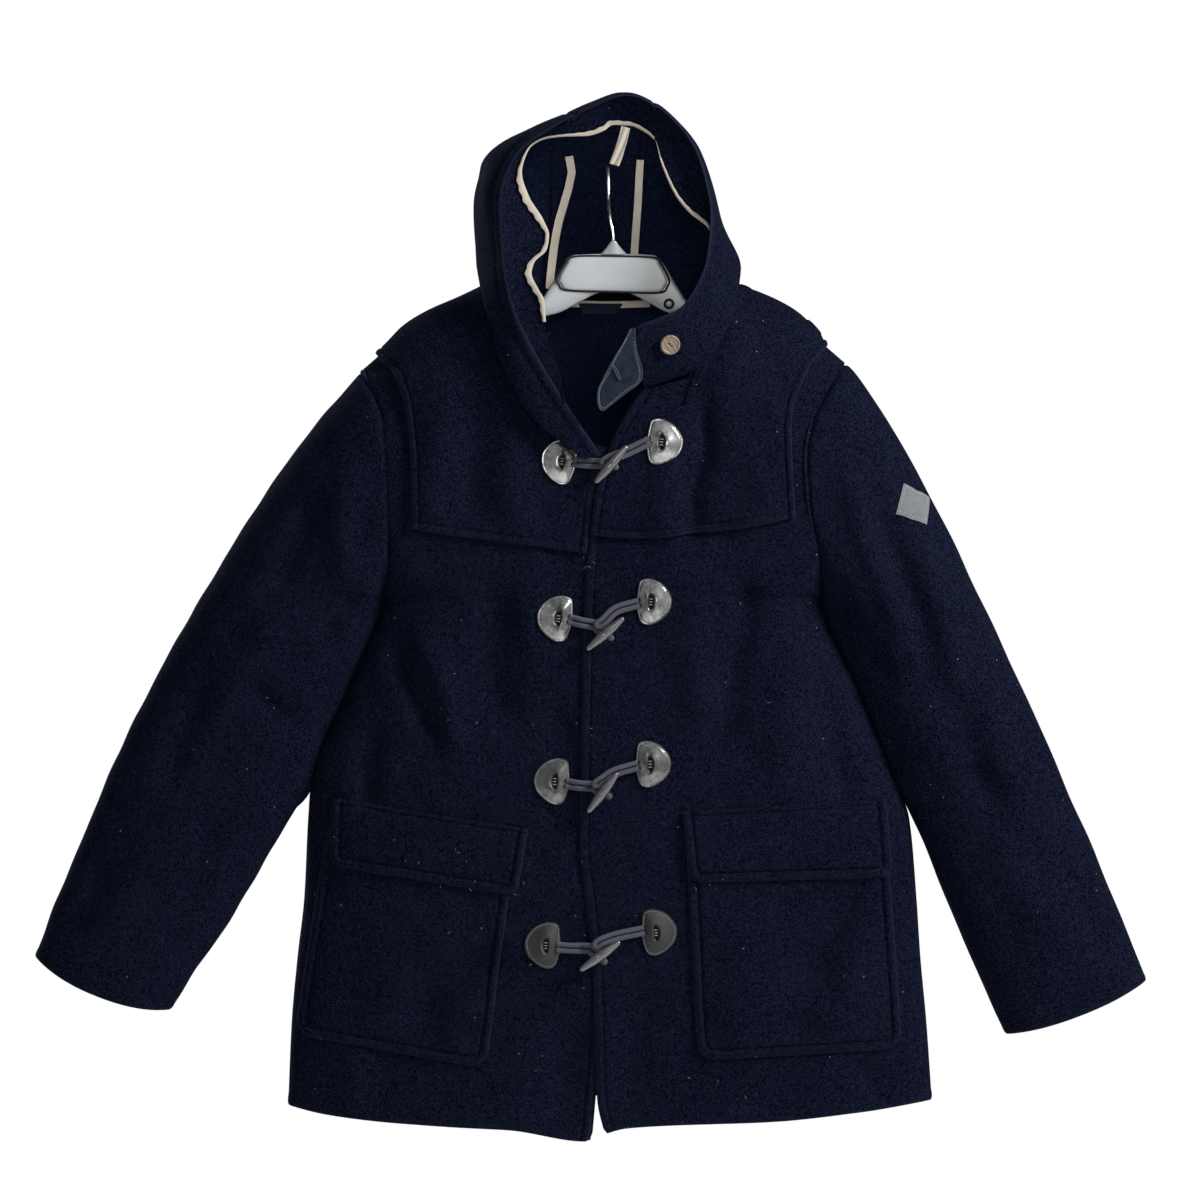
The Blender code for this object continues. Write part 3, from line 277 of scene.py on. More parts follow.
def graded(length, near_start, near_end, step):
    """Shares of a length from 0 to 1: stated distances (mm) from its ends, even steps between."""
    start = np.array(near_start) * MM
    end = length - np.array(near_end)[::-1] * MM
    low, high = (start[-1] if len(start) else 0), (end[0] if len(end) else length)
    middle = np.linspace(low, high, max(2, int(round((high - low) / step)) + 1))
    return np.unique(np.round(np.concatenate([[0, length], start, middle, end]), 7)) / length


SEWN = (0, 1, 2.5, 4.5, 6.2, 7.2, 7.9, 8.5, 9.1, 9.8, 11, 13.5)   # fine steps over a sewn edge
TURNED = (0, 1, 3, 6)
NECK_SHARE = 0.45                                # where a panel's neck point lies
NEAR_SIDE = (0, 0.12, 0.6, 1.6, 3.2, 5.6, 9, 13)     # the surface turns sharply there
NEAR_RIDGE = (0, 0.3, 1, 2, 3.5, 5.5, 8, 11, 15)
YOKE_INSET = 0.0075                              # from a yoke's edge to its topstitching


# The body's surface

def half_width(z, side):
    """Where the body's side lies at a height."""
    return smooth(z, BODY["z"], BODY[side])


FOLD_GAIN = 2.6      # the tables give the folds of the plain solids
FOLD_MARGIN = 0.2    # share beside the sides and under the ridge where folds fade out


def fold_lift(x, z, folds):
    """Height of soft folds, each a hump across a run that wanders a little and fades out."""
    lift = np.zeros(np.broadcast(x, z).shape)
    for x0, z0, x1, z1, width, height in zip(*folds.values()):
        length = math.hypot(x1 - x0, z1 - z0)
        run = np.array([x1 - x0, z1 - z0]) / length
        ahead = ((x - x0) * run[0] + (z - z0) * run[1]) / length
        wander = 0.12 * width * np.sin(5 * ahead + 40 * x0)
        aside = (x - x0) * run[1] - (z - z0) * run[0] + wander
        fade = held(np.minimum(ahead, 1 - ahead) * 2.4 + 0.4)
        lift = lift + FOLD_GAIN * height * bell(aside, 0.5 * width) * fade**2 * (3 - 2 * fade)
    return lift


def ripple(x, z, seed):
    """Slight unevenness of thick wool that hangs."""
    return RIPPLE * (np.sin(38 * x + 21 * z + seed) + np.sin(61 * x - 33 * z + 2.1 * seed)
                     + 0.7 * np.sin(94 * z + 17 * x + 0.7 * seed)
                     + 0.6 * np.sin(143 * x + 74 * z + 3.3 * seed))


def body_depth(x, z, face, under):
    """How far the front or back surface lies from the plane of the side seams."""
    x, z = np.broadcast_arrays(np.asarray(x, float), np.asarray(z, float))
    drop = held((smooth(x, RIDGE["x"], RIDGE["z"]) - z) / SHOULDER_REACH)
    depth = (smooth(z, BODY["z"], BODY[face]) - under) * np.sin(0.5 * np.pi * np.sqrt(drop))
    uneven = fold_lift(x, z, FOLDS[face]) + ripple(x, z, 1.0 if face == "front" else 4.0)
    result = np.zeros(x.shape)
    for side, sign in SIGN.items():
        across = held(x / half_width(z, side))
        tip = SHOULDER_TIP[side]
        level = np.clip((z - 0.5 * (ARMPIT + tip)) / (0.5 * (tip - ARMPIT)), -1, 1)
        rim = np.minimum((ARMHOLE_DEPTH - under) * np.sqrt(1 - level**2), depth)
        swell = (1 - across**SECTION_POWER) ** (1 / SECTION_POWER)
        inside = held((1 - across) / FOLD_MARGIN) * held(drop / FOLD_MARGIN)
        shape = rim + (depth - rim) * swell + uneven * inside
        result = np.where(x * sign >= 0, shape, result)
    return result


def on_body(x, z, face, lift, under=0.0):
    """Points of the body's surface at x and z, moved out along its normal by lift."""
    sign = -1 if face == "front" else 1
    x, z = np.broadcast_arrays(np.asarray(x, float), np.asarray(z, float))
    y = sign * (body_depth(x, z, face, under) + SEAM)
    points = spots(x, y, z)
    if np.all(np.asarray(lift) == 0):
        return points
    step = 0.002
    slope_x = body_depth(x + step, z, face, under) - body_depth(x - step, z, face, under)
    slope_z = body_depth(x, z + step, face, under) - body_depth(x, z - step, face, under)
    normal = unit(spots(-slope_x, np.full(x.shape, 2 * step * sign), -slope_z))
    return points + normal * np.asarray(lift)[..., None]


def laid(grid, face, lift, under=0.0):
    """A flat grid laid on the body."""
    return on_body(grid[..., 0], grid[..., 1], face, lift, under)


def patchwork(bottom, top, first, last, shares_u, shares_v):
    """Flat grid (x, z) spanned between four edge curves; the two side curves give the corners."""
    bottom[[0, -1]] = first[0], last[0]
    top[[0, -1]] = first[-1], last[-1]
    u = shares_u[None, :, None]
    v = shares_v[:, None, None]
    edges = (1 - v) * bottom[None] + v * top[None] + (1 - u) * first[:, None] + u * last[:, None]
    corners = ((1 - u) * (1 - v) * bottom[0] + u * (1 - v) * bottom[-1]
               + (1 - u) * v * top[0] + u * v * top[-1])
    return edges - corners


def side_edge(shares, side, hem_z):
    """Side seam from hem to armpit, then the armhole up to the shoulder tip."""
    armpit_share = 0.64
    tip = SHOULDER_TIP[side]
    below = hem_z + (ARMPIT - hem_z) * held(shares / armpit_share)
    turn = held((shares - armpit_share) / (1 - armpit_share))
    above = 0.5 * (ARMPIT + tip) - 0.5 * (tip - ARMPIT) * np.cos(np.pi * turn)
    z = np.where(shares < armpit_share, below, above)
    return spots(half_width(z, side), z)


def shoulder_line(side):
    """Ridge points from the shoulder tip to the neck."""
    keep = RIDGE["x"] * SIGN[side] >= NECK_HALF
    inward = slice(None, None, -SIGN[side])
    return RIDGE["x"][keep][inward], RIDGE["z"][keep][inward]


def collar_edge(shares, neck):
    """The neckline, for shares of a panel's top edge beyond its neck point."""
    return along(held((shares - NECK_SHARE) / (1 - NECK_SHARE)), neck["x"], neck["z"])


def top_edge(shares, side, neck):
    """Shoulder ridge, then the neckline."""
    ridge = along(held(shares / NECK_SHARE), *shoulder_line(side))
    return np.where((shares < NECK_SHARE)[:, None], ridge, collar_edge(shares, neck))


def distance_to(points, line):
    """Distance of each point of a grid to a curve given by closely spaced points."""
    flat = points.reshape(-1, points.shape[-1])
    least = np.full(len(flat), 1.0)
    for start in range(0, len(line), 64):
        gap = np.linalg.norm(flat[:, None] - line[None, start:start + 64], axis=-1)
        least = np.minimum(least, gap.min(axis=1))
    return least.reshape(points.shape[:-1])


def sewn_lift(distance, roll=EDGE_ROLL, inset=STITCH_IN, deep=STITCH_DEEP):
    """Rounded edge, a swell beside it, and the trough of its topstitching."""
    edge = -EDGE_ROUND * np.exp(-distance / 0.0011)
    swell = roll * held(1 - ((distance - 0.5 * inset) / (0.5 * inset)) ** 2)
    return edge + swell - deep * bell(distance - inset, STITCH_WIDE)


def wear_and_highlight_of(distance):
    """How far the nap is rubbed near an edge, and the edge lightened as a painted highlight, 1 at
    the edge.
    """
    return np.exp(-distance / 0.0018)


# Materials

class Value:
    """A shader number that takes Python's operators."""

    def __init__(self, paint, source):
        self.paint, self.source = paint, source

    def _math(self, operation, *values):
        sockets = dict(enumerate(values))
        node = self.paint.node("ShaderNodeMath", {"operation": operation}, sockets)
        return Value(self.paint, node.outputs[0])

    def __add__(self, other):
        return self._math("ADD", self, other)

    def __radd__(self, other):
        return self._math("ADD", other, self)

    def __sub__(self, other):
        return self._math("SUBTRACT", self, other)

    def __rsub__(self, other):
        return self._math("SUBTRACT", other, self)

    def __mul__(self, other):
        return self._math("MULTIPLY", self, other)

    def __rmul__(self, other):
        return self._math("MULTIPLY", other, self)

    def __lt__(self, other):
        return self._math("LESS_THAN", self, other)

    def __gt__(self, other):
        return self._math("GREATER_THAN", self, other)

    def sine(self):
        return self._math("SINE", self)

    def wave(self):
        """A sine between 0 and 1, for threads and ribs."""
        return self.sine() * 0.5 + 0.5

    def held(self, low=0.0, high=1.0):
        return self._math("MINIMUM", self._math("MAXIMUM", self, low), high)


class Paint:
    """One material's nodes."""

    def __init__(self, name, roughness, **sockets):
        self.material = bpy.data.materials.new(name)
        self.material.use_nodes = True
        self.tree = self.material.node_tree
        self.shader = self.tree.nodes["Principled BSDF"]
        self.set(Roughness=roughness, **sockets)

    def set(self, **sockets):
        for name, value in sockets.items():
            self.feed(self.shader, name.replace("_", " "), value)

    def feed(self, node, socket, value):
        target = node.inputs[socket]
        value = value.source if isinstance(value, Value) else value
        if isinstance(value, bpy.types.NodeSocket):
            self.tree.links.new(value, target)
        elif isinstance(value, tuple) and target.type == "RGBA":
            target.default_value = (*value, 1.0)
        else:
            target.default_value = value

    def node(self, kind, settings, sockets):
        made = self.tree.nodes.new(kind)
        for name, value in settings.items():
            setattr(made, name, value)
        for socket, value in sockets.items():
            self.feed(made, socket, value)
        return made

    def place(self, kind="Object", scale=(1, 1, 1), turn=(0, 0, 0)):
        coordinates = self.node("ShaderNodeTexCoord", {}, {}).outputs[kind]
        sockets = {"Vector": coordinates, "Scale": scale, "Rotation": turn}
        return self.node("ShaderNodeMapping", {}, sockets).outputs[0]

    def noise(self, scale, detail, rough, where=None):
        sockets = {"Scale": scale, "Detail": detail, "Roughness": rough,
                   "Vector": where or self.place()}
        return Value(self, self.node("ShaderNodeTexNoise", {}, sockets).outputs["Fac"])

    def cells(self, scale):
        """Outputs of a pattern of cells."""
        sockets = {"Scale": scale, "Vector": self.place()}
        return self.node("ShaderNodeTexVoronoi", {}, sockets).outputs

    def attribute(self, name):
        made = self.node("ShaderNodeAttribute", {"attribute_name": name}, {})
        return Value(self, made.outputs["Fac"])

    def axes(self, where):
        made = self.node("ShaderNodeSeparateXYZ", {}, {"Vector": where})
        return [Value(self, socket) for socket in made.outputs]

    def blend(self, factor, low, high):
        """Colour between low and high; a colour is a tuple or another blend's socket."""
        sockets = {0: factor, 6: low, 7: high}
        return self.node("ShaderNodeMix", {"data_type": "RGBA"}, sockets).outputs[2]

    def finish(self, colour, height, strength, distance, **sockets):
        """The material, with its colour and a fine relief."""
        relief = {"Strength": strength, "Distance": distance, "Height": height}
        normal = self.node("ShaderNodeBump", {}, relief).outputs[0]
        self.set(Base_Color=colour, Normal=normal, **sockets)
        return self.material


def wool_paint():
    """Napped navy melton: fine fibres, faint pilling, rubbed edges lightened partly as a painted
    highlight, and a little lint.
    """
    paint = Paint("wool_melton", 0.96, Sheen_Weight=0.002, Sheen_Roughness=0.45,
                  Sheen_Tint=(0.5, 0.6, 0.9), Specular_IOR_Level=0.002)
    fibre = paint.noise(760, 3.0, 0.75)
    nap = paint.noise(210, 3.0, 0.65)
    cloudy = paint.noise(9, 3.0, 0.6)
    warm = paint.noise(34, 2.0, 0.5)
    factor = ((fibre - 0.5) * 9.5 + (nap - 0.5) * 1.6 + (cloudy - 0.5) * 0.5 + 0.40).held()
    dark = paint.blend(warm, (0.0001, 0.0002, 0.0012), (0.0002, 0.0003, 0.0013))
    light = paint.blend(warm, (0.0018, 0.0025, 0.0055), (0.0022, 0.0027, 0.0055))
    # the inner face is painted lighter than the outer: a painted fill light in the shaded insides
    # of the hood and the neck
    inside = paint.blend(factor, (0.0009, 0.0014, 0.0040), (0.0042, 0.0063, 0.0150))
    mark = paint.attribute("edge")      # 0 to 2 where it is rubbed and painted lighter as highlight, -1 on the inside
    colour = paint.blend((mark * -8 - 7).held(), paint.blend(factor, dark, light), inside)
    rubbed = mark.held(0, 2)
    # lighter along the edges: rubbed nap, and a painted highlight where the raised edges catch the
    # light
    worn_and_highlit = (rubbed * (0.35 + nap * 0.6)).held(0, 0.95)
    colour = paint.blend(worn_and_highlit, colour, (0.0028, 0.0035, 0.0068))
    grain = paint.cells(150)
    random = paint.axes(grain["Color"])[0]
    chance = random > (0.968 - rubbed * 0.28)
    speck = (Value(paint, grain["Distance"]) < (0.05 + random * 0.05)) * chance
    colour = paint.blend(speck * 0.4, colour, (0.08, 0.085, 0.10))
    return paint.finish(colour, fibre * 0.5 + nap * 0.8 + speck * 0.5, 0.55, 0.0008)


def tape_paint(name, dark, pale, line):
    """Cotton twill tape with a slanting rib."""
    paint = Paint(name, 0.88, Specular_IOR_Level=0.1)
    across, length, _ = paint.axes(paint.place("UV"))
    rib = (across * 4200 + length * 5200).wave()
    soil = paint.noise(60, 3.0, 0.6)
    colour = paint.blend(rib * 0.3, paint.blend(soil, dark, pale), line)
    return paint.finish(colour, rib * 0.6 + soil * 0.3, 0.5, 0.0004)


def chambray_paint():
    """Indigo chambray, pale weft over dark warp, faded where it rubs."""
    paint = Paint("chambray", 0.9, Sheen_Weight=0.01, Specular_IOR_Level=0.05)
    across, length, _ = paint.axes(paint.place("UV"))
    warp, weft = (across * 4600).wave(), (length * 4600).wave()
    blotch = paint.noise(130, 4.0, 0.7)
    slub = paint.noise(34, 3.0, 0.6, paint.place("UV", (8, 1, 1)))
    factor = (warp * weft * 0.5 + (blotch - 0.5) * 1.7 + (slub - 0.5) * 0.8 + 0.30).held()
    colour = paint.blend(factor, (0.0003, 0.0008, 0.0022), (0.0030, 0.0062, 0.0115))
    rubbed = (paint.attribute("edge") * 0.75).held()
    colour = paint.blend(rubbed, colour, (0.014, 0.020, 0.025))
    return paint.finish(colour, warp * 0.5 + weft * 0.5, 0.4, 0.0003)


def leather_paint():
    """Black leather, gloss uneven; coat lowered as painted shade, and raised higher up as painted
    light.
    """
    paint = Paint("patch_leather", 0.5, Coat_IOR=2.1, Coat_Roughness=0.2,
                  Specular_IOR_Level=0.12)
    pebble = Value(paint, paint.cells(1300)["Distance"])
    scuff = paint.noise(90, 4.0, 0.65)
    smear = paint.noise(150, 3.0, 0.6)
    height = paint.axes(paint.place())[2]
    mark = paint.attribute("edge")      # above 0 on the worn rim, below 0 where shade is painted into the coat
    colour = paint.blend(scuff, (0.0006, 0.0007, 0.0009), (0.0025, 0.003, 0.0034))
    colour = paint.blend((mark * 0.9).held(), colour, (0.006, 0.006, 0.006))
    # less coat on the worn rim, and less where shade is painted round the slot
    painted_shade_and_wear = (mark * -1.15).held(0, 2) + (mark * 1.5).held(0, 2)
    # more coat higher up: painted light, as the upper patches catch more of the lamps
    lit = ((height + 0.70) * 2.2 + 0.12).held(0, 1.05)
    gloss_with_painted_light = (((smear - 0.5) * 2.6 + 0.95 - painted_shade_and_wear) * lit).held(0.01, 1)
    return paint.finish(colour, pebble * 0.5 + scuff * 0.6 + smear * 0.5, 0.6, 0.0010,
                        Roughness=(0.4 + scuff * 0.3).held(0.1, 0.7), Coat_Weight=gloss_with_painted_light)


def cord_paint():
    """Braided cord, its strands slanting both ways round it."""
    paint = Paint("braided_cord", 0.8, Sheen_Weight=0.02, Specular_IOR_Level=0.15)
    around, length, _ = paint.axes(paint.place("UV"))
    slant, lay = around * 25.13, length * 3100
    braid = (slant + lay).sine() * (slant - lay).sine() * 0.5 + 0.5
    fleck = paint.noise(900, 2.0, 0.6)
    colour = paint.blend((braid * 0.7 + fleck * 0.5).held(),
                         (0.0014, 0.0014, 0.0024), (0.015, 0.0155, 0.024))
    return paint.finish(colour, braid + fleck * 0.3, 0.7, 0.0006)


def horn_paint():
    """Dark horn with streaks that run along the toggle."""
    paint = Paint("toggle_horn", 0.45, Coat_Weight=0.4, Coat_Roughness=0.12,
                  Specular_IOR_Level=0.2)
    streak = paint.noise(30, 4.0, 0.6, paint.place("UV", (1.4, 16, 1)))
    pit = paint.noise(700, 2.0, 0.6)
    colour = paint.blend((streak * 1.5 - 0.35).held(),
                         (0.0015, 0.0015, 0.002), (0.020, 0.020, 0.022))
    return paint.finish(colour, streak * 0.6 + pit * 0.2, 0.3, 0.0005,
                        Roughness=(0.34 + pit * 0.22).held(0.15, 0.7))


def wood_paint():
    """Pale turned wood with fine grain."""
    paint = Paint("button_wood", 0.6, Specular_IOR_Level=0.25)
    across = paint.axes(paint.place(turn=(0, 0.5, 0)))[0]
    ring = (across * 1500 + paint.noise(60, 2.0, 0.5) * 7).wave()
    fleck = paint.noise(420, 4.0, 0.7)
    colour = paint.blend((ring * 0.45 + fleck * 0.75 - 0.1).held(),
                         (0.013, 0.0085, 0.0055), (0.056, 0.038, 0.024))
    return paint.finish(colour, ring * 0.3 + fleck * 0.6, 0.3, 0.0003)


def plastic_paint(name, colour, shade):
    """Moulded plastic, very slightly uneven."""
    paint = Paint(name, 0.38, Specular_IOR_Level=0.45)
    wave = paint.noise(26, 2.0, 0.5)
    speck = paint.noise(900, 2.0, 0.6)
    colour = paint.blend((wave * 0.7 + speck * 0.3).held(), colour, shade)
    return paint.finish(colour, wave * 0.3 + speck * 0.15, 0.25, 0.0004,
                        Roughness=(0.3 + speck * 0.16).held(0.2, 0.6))


def wire_paint():
    """Drawn steel wire."""
    paint = Paint("hook_wire", 0.25, Metallic=1.0)
    drawn = paint.noise(1200, 2.0, 0.6, paint.place(scale=(1, 1, 0.05)))
    colour = paint.blend(drawn, (0.50, 0.50, 0.52), (0.72, 0.72, 0.73))
    return paint.finish(colour, drawn, 0.1, 0.0002,
                        Roughness=(0.18 + drawn * 0.18).held(0.1, 0.5))


def woven_paint(name, low, high, weave=5200):
    """Plain woven label or badge cloth."""
    paint = Paint(name, 0.85, Specular_IOR_Level=0.1)
    across, length, _ = paint.axes(paint.place("UV"))
    warp, weft = (across * weave).wave(), (length * weave).wave()
    worn = paint.noise(160, 3.0, 0.6)
    colour = paint.blend((warp * 0.3 + weft * 0.3 + worn * 0.6 - 0.05).held(), low, high)
    return paint.finish(colour, warp * 0.5 + weft * 0.5, 0.5, 0.0003)


def thread_paint(name, colour, shade):
    """Thread, or any plain matt finish with fine flecks."""
    paint = Paint(name, 0.8, Sheen_Weight=0.02, Specular_IOR_Level=0.1)
    fleck = paint.noise(1500, 2.0, 0.6)
    return paint.finish(paint.blend(fleck, colour, shade), fleck, 0.4, 0.0002)


PAINTS = {
    "wool": wool_paint(),
    # one twill tape in two copies: the tape in the hood and at the neck painted lighter against the
    # shade there, the binding painted darker against the key light on it
    "tape": tape_paint("twill_tape_painted_lighter_for_shade", (0.24, 0.21, 0.17), (0.34, 0.31, 0.27), (0.12, 0.10, 0.08)),
    "binding": tape_paint("binding_tape_painted_darker_for_key_light", (0.085, 0.075, 0.062), (0.14, 0.128, 0.11),
                          (0.04, 0.035, 0.03)),
    "chambray": chambray_paint(),
    "leather": leather_paint(),
    "cord": cord_paint(),
    "horn": horn_paint(),
    "wood": wood_paint(),
    "plastic": plastic_paint("hanger_plastic", (0.064, 0.069, 0.072), (0.086, 0.092, 0.096)),
    # near-black: painted shadow for the groove round the hanger's panel and round its rivet
    "groove": thread_paint("hanger_groove", (0.0008, 0.0008, 0.001), (0.002, 0.002, 0.002)),
    "wire": wire_paint(),
    "label": woven_paint("neck_label", (0.0012, 0.0018, 0.006), (0.004, 0.006, 0.015)),
    "badge": woven_paint("badge_cloth", (0.0104, 0.0112, 0.0127), (0.0385, 0.0415, 0.046), 3600),
    "badge_thread": thread_paint("badge_thread", (0.085, 0.070, 0.055), (0.16, 0.135, 0.11)),
    "navy_thread": thread_paint("navy_thread", (0.004, 0.005, 0.010), (0.014, 0.015, 0.022)),
    "pale_thread": thread_paint("pale_thread", (0.045, 0.046, 0.045), (0.09, 0.092, 0.09)),
    "tab_thread": thread_paint("tab_thread", (0.018, 0.026, 0.032), (0.045, 0.058, 0.068)),
    "lint": thread_paint("lint", (0.030, 0.032, 0.036), (0.070, 0.070, 0.074)),
    "floor": thread_paint("floor", (0.80, 0.80, 0.79), (0.84, 0.84, 0.83)),
}


# Making pieces

def settle(bm, name, finish, sharp=60):
    """Makes a piece from a bmesh, gives it its finish and its body, and hides the solid of the same
    name.
    """
    item = item_from(bm, "coat_" + name, sharp)
    item.data.materials.append(PAINTS[finish])
    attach(item, "root")
    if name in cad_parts:
        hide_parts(name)
    return item


def item_from(bm, name, sharp=60):
    """An object in the scene from a bmesh, smooth but for edges sharper than an angle."""
    data = bpy.data.meshes.new(name)
    bm.to_mesh(data)
    bm.free()
    data.shade_smooth()
    data.set_sharp_from_angle(angle=math.radians(sharp))
    item = bpy.data.objects.new(name, data)
    bpy.context.scene.collection.objects.link(item)
    return item


def grid_mesh(points, wrap=False, flip=False, edge=None, scale=(1, 1)):
    """A bmesh grid laid on rows and columns of points; its map is in metres along the cloth."""
    rows, columns = points.shape[:2]
    bm = bmesh.new()
    chart = bm.loops.layers.uv.new("UVMap")
    wear = bm.verts.layers.float.new("edge")
    bmesh.ops.create_grid(bm, x_segments=columns - 1, y_segments=rows - 1, size=0.5)
    place = {}
    for vert in bm.verts:
        i = round((vert.co.x + 0.5) * (columns - 1))
        j = round((vert.co.y + 0.5) * (rows - 1))
        place[vert] = (i, j)
        vert[wear] = 0.0 if edge is None else float(edge[j, i])
        vert.co = points[j, i]
    for face in bm.faces:
        for loop in face.loops:
            i, j = place[loop.vert]
            loop[chart].uv = (scale[0] * i / (columns - 1), scale[1] * j / (rows - 1))
    if wrap:
        bmesh.ops.remove_doubles(bm, verts=bm.verts[:], dist=1e-6)
    if flip:
        bmesh.ops.reverse_faces(bm, faces=bm.faces[:])
    return bm


def cloth(name, points, finish, wall=CLOTH, wrap=False, flip=False, edge=None, scale=(1, 1),
          seam_side=0, inside=-1.0):
    """A sheet with its wall inside. A panel with a seam_side of -1 or 1 ends on that side of the
    plane of the side seams. The inner face gets the mark inside; the wool paints a face marked
    -1 lighter, as a painted fill light."""
    bm = grid_mesh(points, wrap, flip, edge, scale)
    chart, wear = bm.loops.layers.uv.active, bm.verts.layers.float["edge"]
    bm.normal_update()
    outer = bm.faces[:]
    rim = [line for line in bm.edges if line.is_boundary]
    inner = {vert: bm.verts.new(vert.co - vert.normal * wall) for vert in bm.verts[:]}
    for vert, twin in inner.items():
        # the inner face gets the mark inside; at -1 the wool paints it lighter, as a painted fill
        # light
        twin[wear] = inside
        if seam_side and abs(twin.co.x) > abs(vert.co.x) - 0.0001:
            twin.co.x = vert.co.x - math.copysign(0.8 * wall, vert.co.x)

    def add_face(corners, sources):
        for new, source in zip(bm.faces.new(corners).loops, sources):
            new[chart].uv = source[chart].uv

    for face in outer:
        loops = list(reversed(face.loops[:]))
        add_face([inner[loop.vert] for loop in loops], loops)
    for line in rim:
        start = line.link_loops[0]
        end = start.link_loop_next
        add_face([end.vert, start.vert, inner[start.vert], inner[end.vert]],
                 (end, start, start, end))
    for vert in bm.verts:
        if seam_side * vert.co.y < abs(seam_side) * SEAM:
            vert.co.y = seam_side * SEAM
    return settle(bm, name, finish, 50)


def tube_points(path, radius, sides=10, flat=1.0, up=(0, -1, 0)):
    """Rings round a path; radius may vary along it, flat thins it towards the viewer."""
    path = np.asarray(path, float)
    radius = np.broadcast_to(radius, len(path))
    run = unit(np.gradient(path, axis=0))
    out = unit(np.array(up, float) - run * (run @ np.array(up, float))[:, None])
    side = np.cross(run, out)
    angle = full_turn(sides + 1)
    ring = (np.cos(angle)[None, :, None] * side[:, None]
            + flat * np.sin(angle)[None, :, None] * out[:, None])
    return path[:, None] + radius[:, None, None] * ring


def round_ends(count, closed=0.06, power=3):
    """Shares of the full radius along a rod whose ends are rounded over."""
    t = np.linspace(-1, 1, count)
    return np.maximum(closed, (1 - np.abs(t) ** (2 * power)) ** 0.5)


def rod(name, path, radius, finish, sides=10, flat=1.0, up=(0, -1, 0), scale=(1, 1)):
    """A closed round rod or cord along a path."""
    return closed(name, tube_points(path, radius, sides, flat, up), finish, 60, scale)


def closed(name, points, finish, sharp, scale=(1, 1)):
    """A closed piece from rings of points."""
    bm = grid_mesh(points, wrap=True, scale=scale)
    close_ends(bm)
    return settle(bm, name, finish, sharp)


def close_ends(bm):
    """Fills the open ends of a tube and turns its faces outwards."""
    rim = [edge for edge in bm.edges if edge.is_boundary]
    bmesh.ops.holes_fill(bm, edges=rim, sides=0)
    bmesh.ops.recalc_face_normals(bm, faces=bm.faces[:])


# Coat pieces

def panel_shares(outer, inner, near_outer, near_inner, step):
    """Shares across a panel that has its neck point at NECK_SHARE."""
    first = NECK_SHARE * graded(outer, near_outer, (), step)
    last = NECK_SHARE + (1 - NECK_SHARE) * graded(inner, (), near_inner, step)
    return np.concatenate([first, last[1:]])


def dense(line):
    """Closely spaced points along a polyline."""
    step = 0.0005
    reach = reach_of(line)
    return sampled(np.arange(0, reach[-1] + step, step), reach, line)


def area_of(points):
    """Area of the cloth that a grid of points lies on."""
    one, two = points[1:, 1:] - points[:-1, :-1], points[1:, :-1] - points[:-1, 1:]
    return float(0.5 * np.linalg.norm(np.cross(one, two), axis=-1).sum())


def sheet(name, points, finish, flat, rests_on="hanger_body", **options):
    """A hung sheet of cloth. The area of its flat cut is worked out here but not kept."""
    item = cloth(name, points, finish, **options)
    area = min(area_of(points), flat[0] * flat[1])


def round_corner(grid, j, i, radius):
    """Rounds the corner of a flat grid at its first or last row j and column i."""
    corner = grid[j, i].copy()
    one = grid[j, i + 4 if i == 0 else i - 4] - corner
    two = grid[j + 4 if j == 0 else j - 4, i] - corner
    basis = unit(np.stack([one, two]))
    local = (grid - corner) @ np.linalg.inv(basis)
    inside = np.all((local < radius) & (local > -1e-6), axis=-1)
    off = radius - local[inside]
    reach = off.max(axis=1) / np.maximum(np.linalg.norm(off, axis=1), 1e-9)
    grid[inside] = corner + (radius - off * reach[:, None]) @ basis
    return grid


def back_neck(side):
    """Half of the back's neckline, from the shoulder to the middle."""
    keep = BACK_NECK["x"] * SIGN[side] >= 0
    return {name: column[keep][::-SIGN[side]] for name, column in BACK_NECK.items()}


def both_halves(half):
    """One grid across the back; half gives the grid of a side, from its edge to the middle."""
    return np.concatenate([half("left"), half("right")[:, -2::-1]], axis=1)


def front_panel(side):
    edge = UNDER_EDGE if side == "left" else FRONT_EDGE
    u = panel_shares(0.135, 0.165, NEAR_SIDE, SEWN, 0.0036)
    v = graded(0.78, TURNED, NEAR_RIDGE, 0.0052)
    top = top_edge(u, side, NECK[side])
    hem_x = half_width(HEM_SIDE, side) * (1 - u) + edge["x"][0] * u
    hem = spots(hem_x, smooth(hem_x, HEM["x"], HEM["front"]))
    last_z = hem[-1, 1] * (1 - v) + top[-1, 1] * v
    last = spots(smooth(last_z, edge["z"], edge["x"]), last_z)
    first = side_edge(v, side, hem[0, 1])
    grid = round_corner(patchwork(hem, top, first, last, u, v), 0, -1, 0.006)
    to_edge, to_hem = distance_to(grid, dense(grid[:, -1])), distance_to(grid, dense(grid[0]))
    lift = sewn_lift(to_edge) + sewn_lift(to_hem, deep=0.0)
    points = laid(grid, "front", lift, UNDER[side])
    points[first[:, 1] < ARMPIT, 0, 1] = -SEAM
    wear = np.maximum(wear_and_highlight_of(to_edge), wear_and_highlight_of(to_hem))
    sheet("front_" + side, points, "wool", (0.40, 0.86), flip=side == "right", edge=wear,
          scale=(0.34, 0.84), seam_side=-1)


